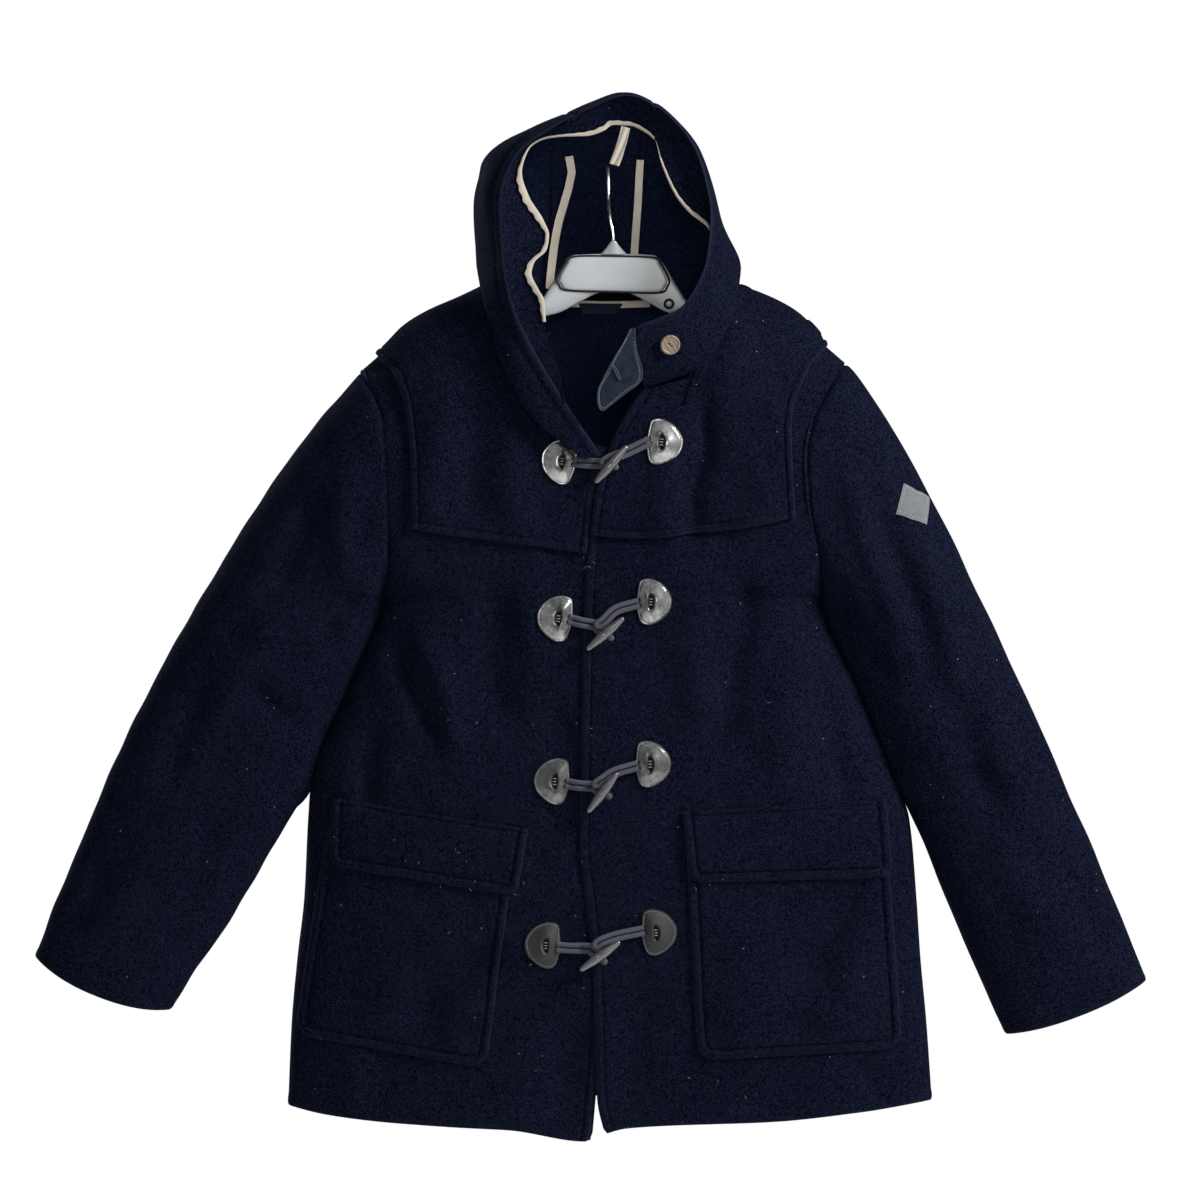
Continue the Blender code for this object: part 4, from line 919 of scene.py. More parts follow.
def back_panel():
    u = panel_shares(0.145, 0.175, NEAR_SIDE, (), 0.0042)
    v = graded(0.78, TURNED, NEAR_RIDGE, 0.0056)

    def half(side):
        top = top_edge(u, side, back_neck(side))
        hem_x = half_width(HEM_SIDE, side) * (1 - u)
        hem = spots(hem_x, smooth(hem_x, HEM["x"], HEM["back"]))
        last = spots(0, hem[-1, 1] * (1 - v) + top[-1, 1] * v)
        first = side_edge(v, side, hem[0, 1])
        return patchwork(hem, top, first, last, u, v)

    grid = both_halves(half)
    to_hem = distance_to(grid, dense(grid[0]))
    points = laid(grid, "back", sewn_lift(to_hem, deep=0.0))
    for column in (0, -1):
        points[grid[:, column, 1] < ARMPIT, column, 1] = SEAM
    sheet("back", points, "wool", (0.74, 0.86), flip=True, edge=wear_and_highlight_of(to_hem),
          scale=(0.66, 0.84), seam_side=1)


def yoke_ridge(side, first, shares):
    """The part of the shoulder ridge from a yoke's outer edge to the neck."""
    ridge_x, ridge_z = shoulder_line(side)
    keep = np.abs(ridge_x) < abs(first[-1, 0])
    return along(held(shares / NECK_SHARE),
                 np.concatenate(([first[-1, 0]], ridge_x[keep])),
                 np.concatenate(([first[-1, 1]], ridge_z[keep])))


def yoke_top(shares, side, first, neck):
    """A yoke's top edge, along the shoulder ridge and then the neckline."""
    return np.where((shares < NECK_SHARE)[:, None], yoke_ridge(side, first, shares),
                    collar_edge(shares, neck))


def yoke_edges(grid):
    """Lift, and wear with its painted highlight, of a yoke along its two side edges and its lower
    edge.
    """
    lift, wear = 0.0, 0.0
    for line in (grid[0], grid[:, 0], grid[:, -1]):
        away = distance_to(grid, dense(line))
        lift, wear = lift + sewn_lift(away, inset=YOKE_INSET), np.maximum(wear, wear_and_highlight_of(away))
    return lift, wear


def front_yoke(side):
    u = panel_shares(0.10, 0.12, SEWN, SEWN, 0.0036)
    v = graded(0.20, SEWN, NEAR_RIDGE, 0.0036)
    lower, outer, neck = YOKE_LOWER[side], YOKE_SIDE[side], NECK[side]
    # the left yoke stops short of the right front's edge, so its neck ends at the middle
    short, reach = (0.0015, 0) if side == "left" else (0, 1)
    first = along(v, outer["x"], outer["z"])
    neck = {name: column[neck["x"] < reach] for name, column in neck.items()}
    top = yoke_top(u, side, first, neck)
    bottom = along(u, lower["x"], lower["z"])
    last_z = bottom[-1, 1] * (1 - v) + top[-1, 1] * v
    last = spots(smooth(last_z, FRONT_EDGE["z"], FRONT_EDGE["x"]) - short, last_z)
    grid = patchwork(bottom, top, first, last, u, v)
    lift, wear = yoke_edges(grid)
    points = laid(grid, "front", YOKE_LIFT + lift, UNDER[side])
    sheet("yoke_front_" + side, points, "wool", (0.27, 0.29), flip=side == "right", edge=wear,
          scale=(0.22, 0.22), inside=0.0)


def back_yoke():
    u = panel_shares(0.11, 0.125, SEWN, (), 0.004)
    v = graded(0.21, SEWN, NEAR_RIDGE, 0.004)

    def half(side):
        first = along(v, YOKE_SIDE[side]["x"], YOKE_SIDE[side]["z"])
        top = yoke_top(u, side, first, back_neck(side))
        bottom = spots(first[0, 0] * (1 - u), YOKE_BACK_LOWER)
        first[:, 1] += (YOKE_BACK_LOWER - first[0, 1]) * (1 - v)
        last = spots(0, YOKE_BACK_LOWER * (1 - v) + top[-1, 1] * v)
        return patchwork(bottom, top, first, last, u, v)

    grid = both_halves(half)
    lift, wear = yoke_edges(grid)
    points = laid(grid, "back", YOKE_LIFT + lift)
    sheet("yoke_back", points, "wool", (0.50, 0.29), flip=True, edge=wear, scale=(0.44, 0.22))


def sleeve_point(side, ring, angle, lift=0.0):
    """Sleeve surface: ring runs 0 to 1 from armhole to cuff, angle 0 at the outer edge, front
    at a quarter turn."""
    steps = np.linspace(0, 1, len(SLEEVE[side]["ox"]))
    row = {name: smooth(ring, steps, column) for name, column in SLEEVE[side].items()}
    sign, tip = SIGN[side], SHOULDER_TIP[side]
    cos, sin = np.cos(angle), np.sin(angle)
    fore, rise = (np.sign(c) * np.abs(c) ** (2 / SLEEVE_POWER) for c in (cos, sin))
    half_x, half_z = 0.5 * (row["ox"] - row["ix"]), 0.5 * (row["oz"] - row["iz"])
    half = np.hypot(half_x, half_z)
    axis_x, axis_z = sign * half_z / half, -sign * half_x / half
    bow = np.where(sin > 0, row["front_bow"], row["back_bow"]) * sin**2
    grow = 1 + lift / half
    x = 0.5 * (row["ox"] + row["ix"]) + half_x * grow * fore + axis_x * bow
    z = 0.5 * (row["oz"] + row["iz"]) + half_z * grow * fore + axis_z * bow
    y = -(row["depth"] + lift) * rise
    hole_z = 0.5 * (tip + ARMPIT) + (0.5 * (tip - ARMPIT) + ARMHOLE_LAP + lift) * cos
    hole_x = half_width(hole_z, side) + sign * SLEEVE_CLEAR
    hole_y = -(ARMHOLE_DEPTH + ARMHOLE_LAP + lift) * sin
    share = held(1 - ring / ARMHOLE_BLEND) ** 2
    x, y, z = (own + (hole - own) * share
               for own, hole in ((x, hole_x), (y, hole_y), (z, hole_z)))
    clear = half_width(z, side) + sign * SLEEVE_CLEAR
    x = np.where((z > SLEEVE_FREE) & (sign * x < sign * clear), clear, x)
    # the inner edge rests against the body's side all the way down to where it hangs free
    inner = held((-cos - 0.90) / 0.08) * (ring > 0.02)
    rest = inner * held((z - SLEEVE_FREE) / 0.02)
    x = x + (clear - sign * SLEEVE_PRESS - x) * rest
    return np.stack(np.broadcast_arrays(x, y, z), axis=-1)


def sleeve_lift(side, ring, angle):
    """Folds of a sleeve, its tuck under the armhole's edge, and the turn of its cuff."""
    place = sleeve_point(side, ring, angle)
    front, back = (held(1.25 * sign * np.sin(angle)) for sign in (1, -1))
    x, z = place[..., 0], place[..., 2]
    lift = (fold_lift(x, z, SLEEVE_FOLDS[side]) * front
            + 0.8 * fold_lift(x + 0.012, z - 0.03, SLEEVE_FOLDS[side]) * back)
    lift = lift + ripple(x, z, 7.0 if side == "left" else 9.0) * held(ring / 0.05)
    down = np.linalg.norm(place - sleeve_point(side, 0 * ring, angle), axis=-1)
    up = np.linalg.norm(place - sleeve_point(side, 0 * ring + 1, angle), axis=-1)
    return lift - 0.0022 * bell(down, 0.0028) + sewn_lift(up, roll=0.0004, deep=0.0), up


def sleeve(side):
    angle = full_turn(97)[None, :]
    ring = graded(0.66, (0, 0.8, 1.7, 2.6, 3.6, 5, 7, 10), TURNED, 0.0046)[:, None]
    lift, up = sleeve_lift(side, ring, angle)
    points = sleeve_point(side, ring, angle, lift)
    # one more row, tucked in under the armhole's edge
    tuck = (0 * angle - SIGN[side] * 0.004, 0.0035 * np.sin(angle), -0.0035 * np.cos(angle))
    points = np.concatenate([points[:1] + np.stack(tuck, axis=-1), points])
    wear = wear_and_highlight_of(np.concatenate([up[:1], up]))
    sheet("sleeve_" + side, points, "wool", (0.50, 0.72), wrap=True, flip=side == "left",
          edge=wear, scale=(0.4, 0.66))


def hood_point(station, depth, lift=0.0):
    """Hood surface: station along the rim, depth 0 at the rim and 1 at the neck seam."""
    station, depth = np.broadcast_arrays(np.asarray(station, float), np.asarray(depth, float))
    number = np.arange(len(HOOD["rim_x"]))
    at = {name: smooth(station, number, column) for name, column in HOOD.items()}
    over = YOKE_LIFT + CLOTH + LAY
    behind = ((station > BEHIND_NECK[0]) & (station < BEHIND_NECK[1]))[..., None]
    neck = np.where(behind, on_body(at["neck_x"], at["neck_z"], "back", over),
                    on_body(at["neck_x"], at["neck_z"], "front", over))
    rim, side, back = (spots(*(at[part + axis] for axis in "xyz"))
                       for part in ("rim_", "side_", "back_"))
    # the two inner stops are pulled out so that the curve passes near them
    middle = 0.5 * (rim + neck)
    side, back = (middle + HOOD_PULL * (stop - middle) for stop in (side, back))
    t = depth[..., None]
    points = ((1 - t) ** 3 * rim + 3 * t * (1 - t) ** 2 * side + 3 * t**2 * (1 - t) * back
              + t**3 * neck)
    if np.all(np.asarray(lift) == 0):
        return points
    step = 0.01
    ds = (hood_point(station, held(depth + step))
          - hood_point(station, held(depth - step)))
    dt = (hood_point(np.clip(station + step, 0, number[-1]), depth)
          - hood_point(np.clip(station - step, 0, number[-1]), depth))
    return points + unit(np.cross(dt, ds)) * np.asarray(lift)[..., None]


def hood_lift(station, depth):
    """Double row of stitching along the rim, the two long seams, and soft folds."""
    place = hood_point(station, depth)
    rim = hood_point(np.linspace(0, len(HOOD["rim_x"]) - 1, 1800), 0.0)
    away = distance_to(place, rim)
    lift = sewn_lift(away, roll=0.0008, inset=0.0100, deep=0.0010)
    lift = lift - 0.0009 * bell(away - 0.0135, 0.0012)
    for seam in HOOD_SEAM_STATIONS:
        line = hood_point(seam, np.linspace(0, 1, 700))
        lift = lift - 0.0016 * bell(distance_to(place, line), 0.0022)
    for at, middle, wide, deep, height in HOOD_FOLDS:
        lift = lift + height * MM * bell(station - at, wide) * bell(depth - middle, deep)
    inside = held(depth / 0.15) * held((1 - depth) / 0.15)
    uneven = ripple(place[..., 0] + place[..., 1], place[..., 2], 5.0)
    return lift + uneven * inside, away


def hood():
    first_seam, second_seam = HOOD_SEAM_STATIONS
    depth = graded(0.22, (0, 1, 2.5, 4.5, 6.5, 8, 9, 10, 11, 12, 13, 14, 15.5, 18), (0, 2),
                   0.0042)
    for name, low, high, columns, flat in (
            ("left", 0, first_seam - HOOD_SEAM_GAP, 110, (0.30, 0.40)),
            ("centre", first_seam + HOOD_SEAM_GAP, second_seam - HOOD_SEAM_GAP, 34, (0.14, 0.30)),
            ("right", second_seam + HOOD_SEAM_GAP, len(HOOD["rim_x"]) - 1, 96, (0.30, 0.40))):
        station = np.linspace(low, high, columns)[None, :]
        if name == "centre":
            before, after = [[low - 0.07, low - 0.03]], [[high + 0.03, high + 0.07]]
            station = np.concatenate([before, station, after], axis=1)
        lift, away = hood_lift(station, depth[:, None])
        # the middle panel's allowances lie under its neighbours
        beyond = held(np.maximum(low - station, station - high) / 0.03)
        points = hood_point(station, depth[:, None], lift - (CLOTH + 0.0004) * beyond)
        # the neck seam's allowance, which all but ends where the collar lies over the fronts
        hidden = np.minimum(station[0] - OVER_FRONTS[0], OVER_FRONTS[1] - station[0])
        reach = np.clip(hidden * 2.5, 0.1, 1)[:, None]
        ahead = unit(points[-1] - points[-2]) * reach
        inward = (hood_point(station, 1.0, -(CLOTH + 0.0008)) - hood_point(station, 1.0))[0] * reach
        tucked = [points[-1] + 0.6 * inward + 0.0003 * ahead,
                  points[-1] + 1.2 * inward + 0.0054 * ahead]
        points = np.concatenate([points, tucked])
        wear = 1.8 * wear_and_highlight_of(np.concatenate([away, away[-1:], away[-1:]]))
        sheet("hood_" + name, points, "wool", flat, edge=wear, scale=(0.4, 0.24))


def flat_piece(name, number):
    """A patch pocket or its flap, with round lower corners, laid on the front."""
    row = {column: values[number] for column, values in PATCHED.items()}
    side, flap = ("left" if "left" in name else "right"), "flap" in name
    u = graded(0.19, SEWN, SEWN, 0.0034)
    v = graded(0.065 if flap else 0.21, SEWN, (0, 1, 2, 3, 4, 5, 6, 7, 8), 0.0034)
    low, top = (spots(*(row[part + axis + "0"] * (1 - u) + row[part + axis + "1"] * u
                        for axis in "xz")) for part in ("low_", "top_"))
    grid = low[None] + (top - low)[None] * v[:, None, None]
    for i in (0, -1):
        grid = round_corner(grid, 0, i, row["corner"])
    outline = dense(np.concatenate([grid[::-1, 0], grid[0], grid[:, -1]]))
    away = distance_to(grid, outline)
    lift = LAP + sewn_lift(away, roll=0.0013, inset=0.0090, deep=0.0016)
    if flap:
        below = distance_to(grid, dense(grid[-1]))
        lift = lift + LAP * held((1 - v[:, None]) / 0.14)
        lift = lift + sewn_lift(below, roll=0.0010, inset=0.0055)
        for x, z in SNAPS[side]:
            near = np.hypot(grid[..., 0] - x, grid[..., 1] - z)
            lift = lift - 0.0016 * bell(near, 0.0042)
    points = laid(grid, "front", lift, UNDER[side])
    sheet(name, points, "wool", (0.205, 0.085 if flap else 0.225), rests_on="coat_front_" + side,
          flip=side == "right", edge=wear_and_highlight_of(away), scale=(0.2, 0.07 if flap else 0.21))


SLEEVE_FOLDS = {
    "left": table("x0 z0 x1 z1 width lift", (-262, -300, -266, -420, 30, 2.2),
        (-300, -330, -330, -440, 30, -2.4), (-246, -430, -290, -470, 22, -2.8),
        (-320, -420, -392, -560, 34, 2.0), (-300, -560, -372, -520, 24, -2.0),
        (-400, -520, -450, -620, 30, -2.0), (-420, -640, -500, -760, 34, 1.8),
        (-380, -640, -440, -770, 30, -1.8), (-500, -690, -545, -770, 26, -1.6)),
    "right": table("x0 z0 x1 z1 width lift", (238, -300, 292, -480, 28, 2.6),
        (262, -330, 322, -500, 28, -2.4), (305, -380, 352, -520, 30, 2.2),
        (224, -420, 276, -520, 24, -2.8), (330, -520, 390, -640, 32, -2.0),
        (372, -540, 440, -690, 34, 1.8), (306, -640, 372, -600, 24, -2.0),
        (390, -660, 440, -780, 32, 1.8), (450, -690, 500, -790, 28, -1.6)),
}
# Soft swells of the hood: station, share of the arch, their reaches, and height in millimetres
HOOD_FOLDS = (
    (2.2, 0.45, 0.9, 0.22, -2.0), (4.6, 0.40, 0.7, 0.25, 2.0), (5.2, 0.13, 0.5, 0.07, 3.0),
    (5.7, 0.28, 0.5, 0.12, -3.4), (6.5, 0.55, 0.8, 0.25, 2.4), (9.8, 0.5, 0.7, 0.25, 2.0),
    (11.2, 0.35, 0.7, 0.2, -1.8), (12.6, 0.5, 0.8, 0.25, 1.8),
)
PATCHED = table("top_x0 top_z0 top_x1 top_z1 low_x0 low_z0 low_x1 low_z1 corner",
    (-280, -658, -94, -687, -313, -866, -122, -899, 18),
    (276, -661, 76, -672, 292, -880, 88, -891, 18),
    (-275, -630, -80, -660, -277, -697, -91, -727, 12),
    (274, -631, 72, -643, 281, -708, 80, -714, 12))
PATCHED_NAMES = ("pocket_left", "pocket_right", "flap_left", "flap_right")
SNAPS = {"left": ((-0.262, -0.678), (-0.108, -0.703)), "right": ((0.097, -0.688), (0.259, -0.682))}


# Fastenings

# Centres of the two leather patches and ends of each toggle, from the neck down
FASTENINGS = table("toggle_x toggle_z loop_x loop_z horn_x0 horn_z0 horn_x1 horn_z1",
    (-50, -295, 55, -277, 19, -281, -13, -318),
    (-54, -451, 45, -435, 15, -450, -22, -482),
    (-57, -613, 44, -596, 9, -603, -21, -643),
    (-66, -776, 50, -763, 11, -771, -29, -800))
# Millimetres: start and end of each toggle's cord, start, bend and turn of each loop, the knot
CORDS = (
    ((-36, -296), (-7, -298), (41, -275), (17, -287), (-4, -297), (7, -302)),
    ((-40, -452), (-14, -458), (30, -436), (7, -443), (-10, -457), (2, -470)),
    ((-43, -615), (-16, -618), (29, -597), (5, -604), (-12, -615), (0, -627)),
    ((-52, -778), (-20, -779), (35, -761), (10, -766), (-12, -775), (-5, -791)),
)
CORD_SPREAD = 0.0029
HORN_RADIUS = 0.0050
HORN_HEIGHT = LAY + 4 * CORD_RADIUS     # cloth to the horn's middle, past two cords
KNOT_RADIUS = 0.0034
PATCH_WALL = 0.0013
# Outline of the patch of a loop, across and up, its straight side towards the front edges
PATCH_OUTLINE = np.array([
    (-14, 21), (-4, 23), (8, 18), (16, 8), (17.5, -1), (14, -11), (5, -19), (-5, -23),
    (-13, -20), (-16.5, -10), (-17.5, 0), (-16.5, 11),
]) * MM
# Height over the cloth from the slot to the edge, in thousandths of the way and millimetres
PATCH_SECTION = table("share height", (0, 0.5), (60, 1.6), (130, 3.4), (210, 4.5), (330, 4.0),
                      (550, 2.6), (780, 1.1), (930, 0.4), (1000, 0.1))
SLOT = np.array([-0.0035, 0.0])
PATCH_RINGS = np.array([0, 0.03, 0.06, 0.1, 0.14, 0.18, 0.22, 0.27, 0.33, 0.4, 0.48, 0.56, 0.64,
                        0.72, 0.79, 0.85, 0.9, 0.94, 0.97, 1.0])
PATCH_INSET = 0.0018        # from a patch's edge to its stitching


def closed_curve(points, count):
    """Smooth closed curve through points, its last point on its first."""
    points = np.asarray(points, float)
    three_times = np.concatenate([points, points, points, points[:1]])
    around = flowing(three_times, 3 * count + 1)[count:2 * count + 1]
    around[-1] = around[0]
    return around


def add_thread(joined, path, radius, sides, up=(0, -1, 0)):
    """Adds one short closed thread to a bmesh that holds many."""
    one = grid_mesh(tube_points(path, radius, sides, up=up), wrap=True)
    close_ends(one)
    data = bpy.data.meshes.new("thread")
    one.to_mesh(data)
    one.free()
    joined.from_mesh(data)
    bpy.data.meshes.remove(data)


def raised(flat, y):
    """Points in space from flat ones (x, z), all at one depth."""
    return np.insert(flat, 1, y, axis=-1)


def turned(angle):
    """Matrix that turns flat rows of points."""
    cos, sin = math.cos(angle), math.sin(angle)
    return np.array([[cos, sin], [-sin, cos]])


def upright(out):
    """Level and upward directions of a surface that looks out."""
    up = unit(np.array([0, 0, 1.0]) - out * out[2])
    return np.cross(up, out), up


def stitches(name, path, lift, finish, long, gap, radius=0.00030):
    """A row of short stitches along a path of points; lift gives each its outward direction."""
    reach = reach_of(path)
    joined = bmesh.new()
    for k in range(int(reach[-1] / (long + gap))):
        at = (k + np.linspace(0.12, 0.12 + long / (long + gap), 4)) * (long + gap)
        out = sampled(at, reach, lift)
        run = sampled(at, reach, path) + out * radius * np.array([0.1, 1, 1, 0.1])[:, None]
        add_thread(joined, run, radius * np.array([0.5, 1, 1, 0.5]), 6, out[1])
    settle(joined, name, finish)


def over_front(x, z, height, under):
    """Points of the front at x and z, height over the cloth, and their outward directions."""
    low = on_body(x, z, "front", height, under)
    return low, (on_body(x, z, "front", height + 0.01, under) - low) * 100


def leather_patch(name, x, z, side, tilt, under, base):
    """Leather patch that rises to a sunk, stitched slot; side turns its straight side."""
    edge = closed_curve(PATCH_OUTLINE, 96)
    bearing = np.arctan2(edge[:, 1] - SLOT[1], edge[:, 0] - SLOT[0])
    slot = SLOT + spots(0.0008 * np.cos(bearing), 0.0052 * np.sin(bearing))
    share = PATCH_RINGS[:, None]
    flat = slot[None] + (edge - slot)[None] * share[..., None]
    uneven = 1 + 0.10 * np.sin(2 * bearing + 40 * x) + 0.07 * np.sin(3 * bearing - 30 * z)
    height = smooth(share, PATCH_SECTION["share"], PATCH_SECTION["height"]) * uneven[None]
    turn = turned(tilt)
    placed = (flat * (side, 1)) @ turn
    away = distance_to(flat, dense(edge))
    row_line = bell(away - PATCH_INSET, 0.0006)
    rim = bell(away, 0.0011)
    aside, above = flat[..., 0] - SLOT[0], flat[..., 1] - SLOT[1]
    # painted shade round the slot and along the stitching, painted highlights in two lobes beyond
    painted_shade_and_wear = (1.3 * bell(aside, 0.0045) * bell(above, 0.0085)
            + 0.7 * bell(aside, 0.0030) * bell(above, 0.016) + 0.8 * row_line
            - 0.5 * bell(aside - 0.0085, 0.006) * bell(above, 0.0045)
            - 0.5 * bell(aside - 0.001, 0.008) * bell(above + 0.0145, 0.005))
    # painted shade towards the straight side of a loop's patch
    if side > 0:
        painted_shade_and_wear = painted_shade_and_wear + 0.15 * held((-aside - 0.003) / 0.008)
    points, out = over_front(x + placed[..., 0], z + placed[..., 1],
                             base + LAY + PATCH_WALL + height - 0.0005 * row_line, under)
    cloth(name, points, "leather", wall=PATCH_WALL, wrap=True, flip=side < 0,
          edge=rim - np.clip(painted_shade_and_wear, 0, 1.2) * (1 - rim), scale=(0.12, 0.02))
    row = int(np.argmin(np.abs(away.mean(axis=1) - PATCH_INSET)))
    stitches(name + "_stitching", points[row], out[row], "pale_thread", 0.0013, 0.0012)
    across = np.linspace(-0.0022, 0.0022, 5)
    hump = 0.0027 + 0.0006 * np.cos(across * 700)
    for k in (-1, 0, 1):
        spot = (SLOT + spots(across, 0.0028 * k)) * (side, 1) @ turn
        path, _ = over_front(x + spot[:, 0], z + spot[:, 1], base + LAY + PATCH_WALL + hump, under)
        rod(name + "_bar_%d" % (k + 2), path, 0.0004 * round_ends(5), "pale_thread", sides=6)


def front_height(x, z, height, base):
    """Height over the upper front, sunk to the under front beside the front edge."""
    beside = smooth(z, FRONT_EDGE["z"], FRONT_EDGE["x"]) - CORD_RADIUS - x
    return base + height - LAP * held(beside / (3 * CORD_RADIUS))


def double_cord(name, line, base):
    """Two strands side by side along a line of (x, z, height), joined by a turn at its end."""
    line = flowing(np.array(line) * MM, 30)
    run = unit(np.gradient(line[:, :2], axis=0))
    side = spots(-run[:, 1], run[:, 0]) * CORD_SPREAD
    turn = np.linspace(0, np.pi, 9)[1:-1, None]
    tip = line[-1, :2] + side[-1] * np.cos(turn) + run[-1] * CORD_SPREAD * np.sin(turn)
    x, z = np.concatenate([line[:, :2] + side, tip, line[::-1, :2] - side[::-1]]).T
    height = np.concatenate([line[:, 2], np.full(len(tip), line[-1, 2]), line[::-1, 2]])
    path = on_body(x, z, "front", front_height(x, z, height, base))
    rod(name, flowing(path, 150), CORD_RADIUS, "cord", sides=14, scale=(1, 0.12))


def toggle(name, ends, base):
    """Spindle of horn with blunt ends and a waist where its cord goes round."""
    place, out = over_front(*ends.mean(axis=0), base + HORN_HEIGHT + 0.7 * HORN_RADIUS, 0.0)
    across, up = upright(out)
    run, span = ends[0] - ends[1], np.linspace(-0.5, 0.5, 41)
    bow = 0.00096 * (1 - (2 * span) ** 2)
    path = place + (across * run[0] + up * run[1]) * span[:, None] - out * bow[:, None]
    body = 0.46 + 0.54 * np.cos(np.pi * span) ** 1.2 - 0.10 * bell(span, 0.035)
    radius = HORN_RADIUS * body * round_ends(41, 0.1, 14)
    rod(name, path, radius, "horn", sides=20, flat=0.86, up=out)


def fastenings():
    for number in range(4):
        row = {name: column[number] for name, column in FASTENINGS.items()}
        tag = "_%d" % (number + 1)
        base = YOKE_LIFT if number == 0 else 0.0
        leather_patch("toggle_patch" + tag, row["toggle_x"], row["toggle_z"], -1,
                      -0.17 + 0.04 * number, LAP, base)
        leather_patch("loop_patch" + tag, row["loop_x"], row["loop_z"], 1, 0.04 * number - 0.06,
                      0.0, base)
        ends = np.array([[row["horn_x0"], row["horn_z0"]], [row["horn_x1"], row["horn_z1"]]])
        a0, a1, b0, bend, b1, end = CORDS[number]
        waist = ends.mean(axis=0) / MM
        double_cord("toggle_cord" + tag, [
            (*a0, 3.0), (0.5 * (a0[0] + a1[0]), 0.5 * (a0[1] + a1[1]) - 0.6, 3.2), (*a1, 3.4),
            (0.4 * waist[0] + 0.6 * a1[0], 0.5 * waist[1] + 0.5 * a1[1], 4.5),
            (waist[0] - 1, waist[1], 8.5)], base)
        double_cord("loop_cord" + tag, [
            (*b0, 3.0), (*bend, 5.2), (b1[0] + 5, b1[1] + 3.4, 8.2), (*b1, 8.2)], base)
        toggle("toggle" + tag, ends, base)
        knot("toggle_knot" + tag, *np.array(end) * MM, base)


def knot(name, x, z, base):
    """End of the toggle's cord, knotted where it leaves the horn."""
    place, _ = over_front(x, z, base + HORN_HEIGHT, 0.0)
    span = np.linspace(-1, 1, 13)
    path = place + np.array([1.0, 0, -0.3]) * KNOT_RADIUS * span[:, None]
    radius = np.maximum(0.06, np.sqrt(1 - span**2)) * (1 + 0.06 * np.sin(9 * span))
    rod(name, path, KNOT_RADIUS * radius, "cord", sides=12, scale=(1, 0.02))


# Throat tab, button, badge, label

TAB_ROWS = table("left_x left_z right_x right_z", (21, -165, 25.5, -164), (17, -173, 26, -174),
    (13, -180.5, 26.5, -180), (8, -188.5, 28, -188), (3, -197, 30.5, -196), (-3, -208, 33, -207),
    (-7, -216, 32.5, -214), (-10.5, -224, 27, -221), (-11.5, -232, 18, -227.5),
    (-11, -239, 7, -236), (-9.5, -243.5, -1, -242.5), (-7.5, -245.5, -5, -245.5))
TAB_DEPTH = -0.0866
BUTTON_X, BUTTON_Z = 0.060, -0.180
BADGE = table("x z", (293, -318), (320, -332), (316, -359), (285, -348))
BADGE_CUT = (0.031, 0.028)
TAPE = 0.0009


def locate(surface, x, z, first, second):
    """Parameters of the surface's point that shows at x and z, searched in two ranges."""
    for _ in range(7):
        a, b = np.meshgrid(np.linspace(*first, 13), np.linspace(*second, 13), indexing="ij")
        shown = surface(a, b)
        miss = np.hypot(shown[..., 0] - x, shown[..., 2] - z)
        i, j = np.unravel_index(np.argmin(miss), miss.shape)
        span_a, span_b = (first[1] - first[0]) / 5, (second[1] - second[0]) / 5
        first = (a[i, j] - span_a / 2, a[i, j] + span_a / 2)
        second = (b[i, j] - span_b / 2, b[i, j] + span_b / 2)
    return 0.5 * sum(first), 0.5 * sum(second)


def frame_at(surface, a, b):
    """Place, across, up and outward directions of a surface that faces the front."""
    step = 0.01
    one = surface(a + step, b) - surface(a - step, b)
    two = surface(a, b + step) - surface(a, b - step)
    out = unit(np.cross(one, two))
    out = -out if out[1] > 0 else out
    return surface(a, b), *upright(out), out


def throat_tab():
    rows = np.arange(len(TAB_ROWS["left_x"]))
    at = np.linspace(0, rows[-1], 60)
    edge = {name: smooth(at, rows, column)[:, None] for name, column in TAB_ROWS.items()}
    near = (0, 0.8, 1.6, 2.2, 2.8, 3.4)
    u = graded(0.03, near, near, 0.0016)[None, :]
    x = edge["left_x"] * (1 - u) + edge["right_x"] * u
    z = edge["left_z"] * (1 - u) + edge["right_z"] * u
    flat = spots(x, z)
    away = distance_to(flat, dense(np.concatenate([flat[:, 0], flat[-1], flat[::-1, -1]])))
    drop = held((-0.165 - z) / 0.08)
    y = TAB_DEPTH - 0.0018 * np.sin(2.4 * drop) - 0.0010 * np.sin(55 * x + 60 * z) * drop
    y = y - 0.0005 * held(1 - away / 0.0018) + 0.0005 * bell(away - 0.0024, 0.0006)
    points = spots(x, y, z)
    sheet("throat_tab", points, "chambray", (0.045, 0.085), rests_on="coat_hood_right",
          wall=0.0016, flip=True, edge=np.exp(-away / 0.0012), scale=(0.04, 0.09))
    line = np.concatenate([flat[4:, 0], flat[-1], flat[:3:-1, -1]])
    line = line + unit(np.array([0.008, -0.212]) - line) * 0.0026
    path = raised(flowing(line[::3], 160), TAB_DEPTH - 0.0032)
    stitches("tab_stitching", path, np.tile([0, -1.0, 0], (160, 1)), "tab_thread", 0.0019, 0.0009,
             0.00032)
    turn = full_turn(60)[:, None]
    hole = (np.array([0.0075, -0.2080]) + np.cos(turn) * 0.0075 * np.array([0.42, -0.91])
            + np.sin(turn) * 0.0011 * np.array([0.91, 0.42]))
    radius = 0.0006 * (1 + 0.25 * np.sin(40 * turn[:, 0]))
    rod("buttonhole", raised(hole, TAB_DEPTH - 0.0031), radius, "navy_thread", sides=6)


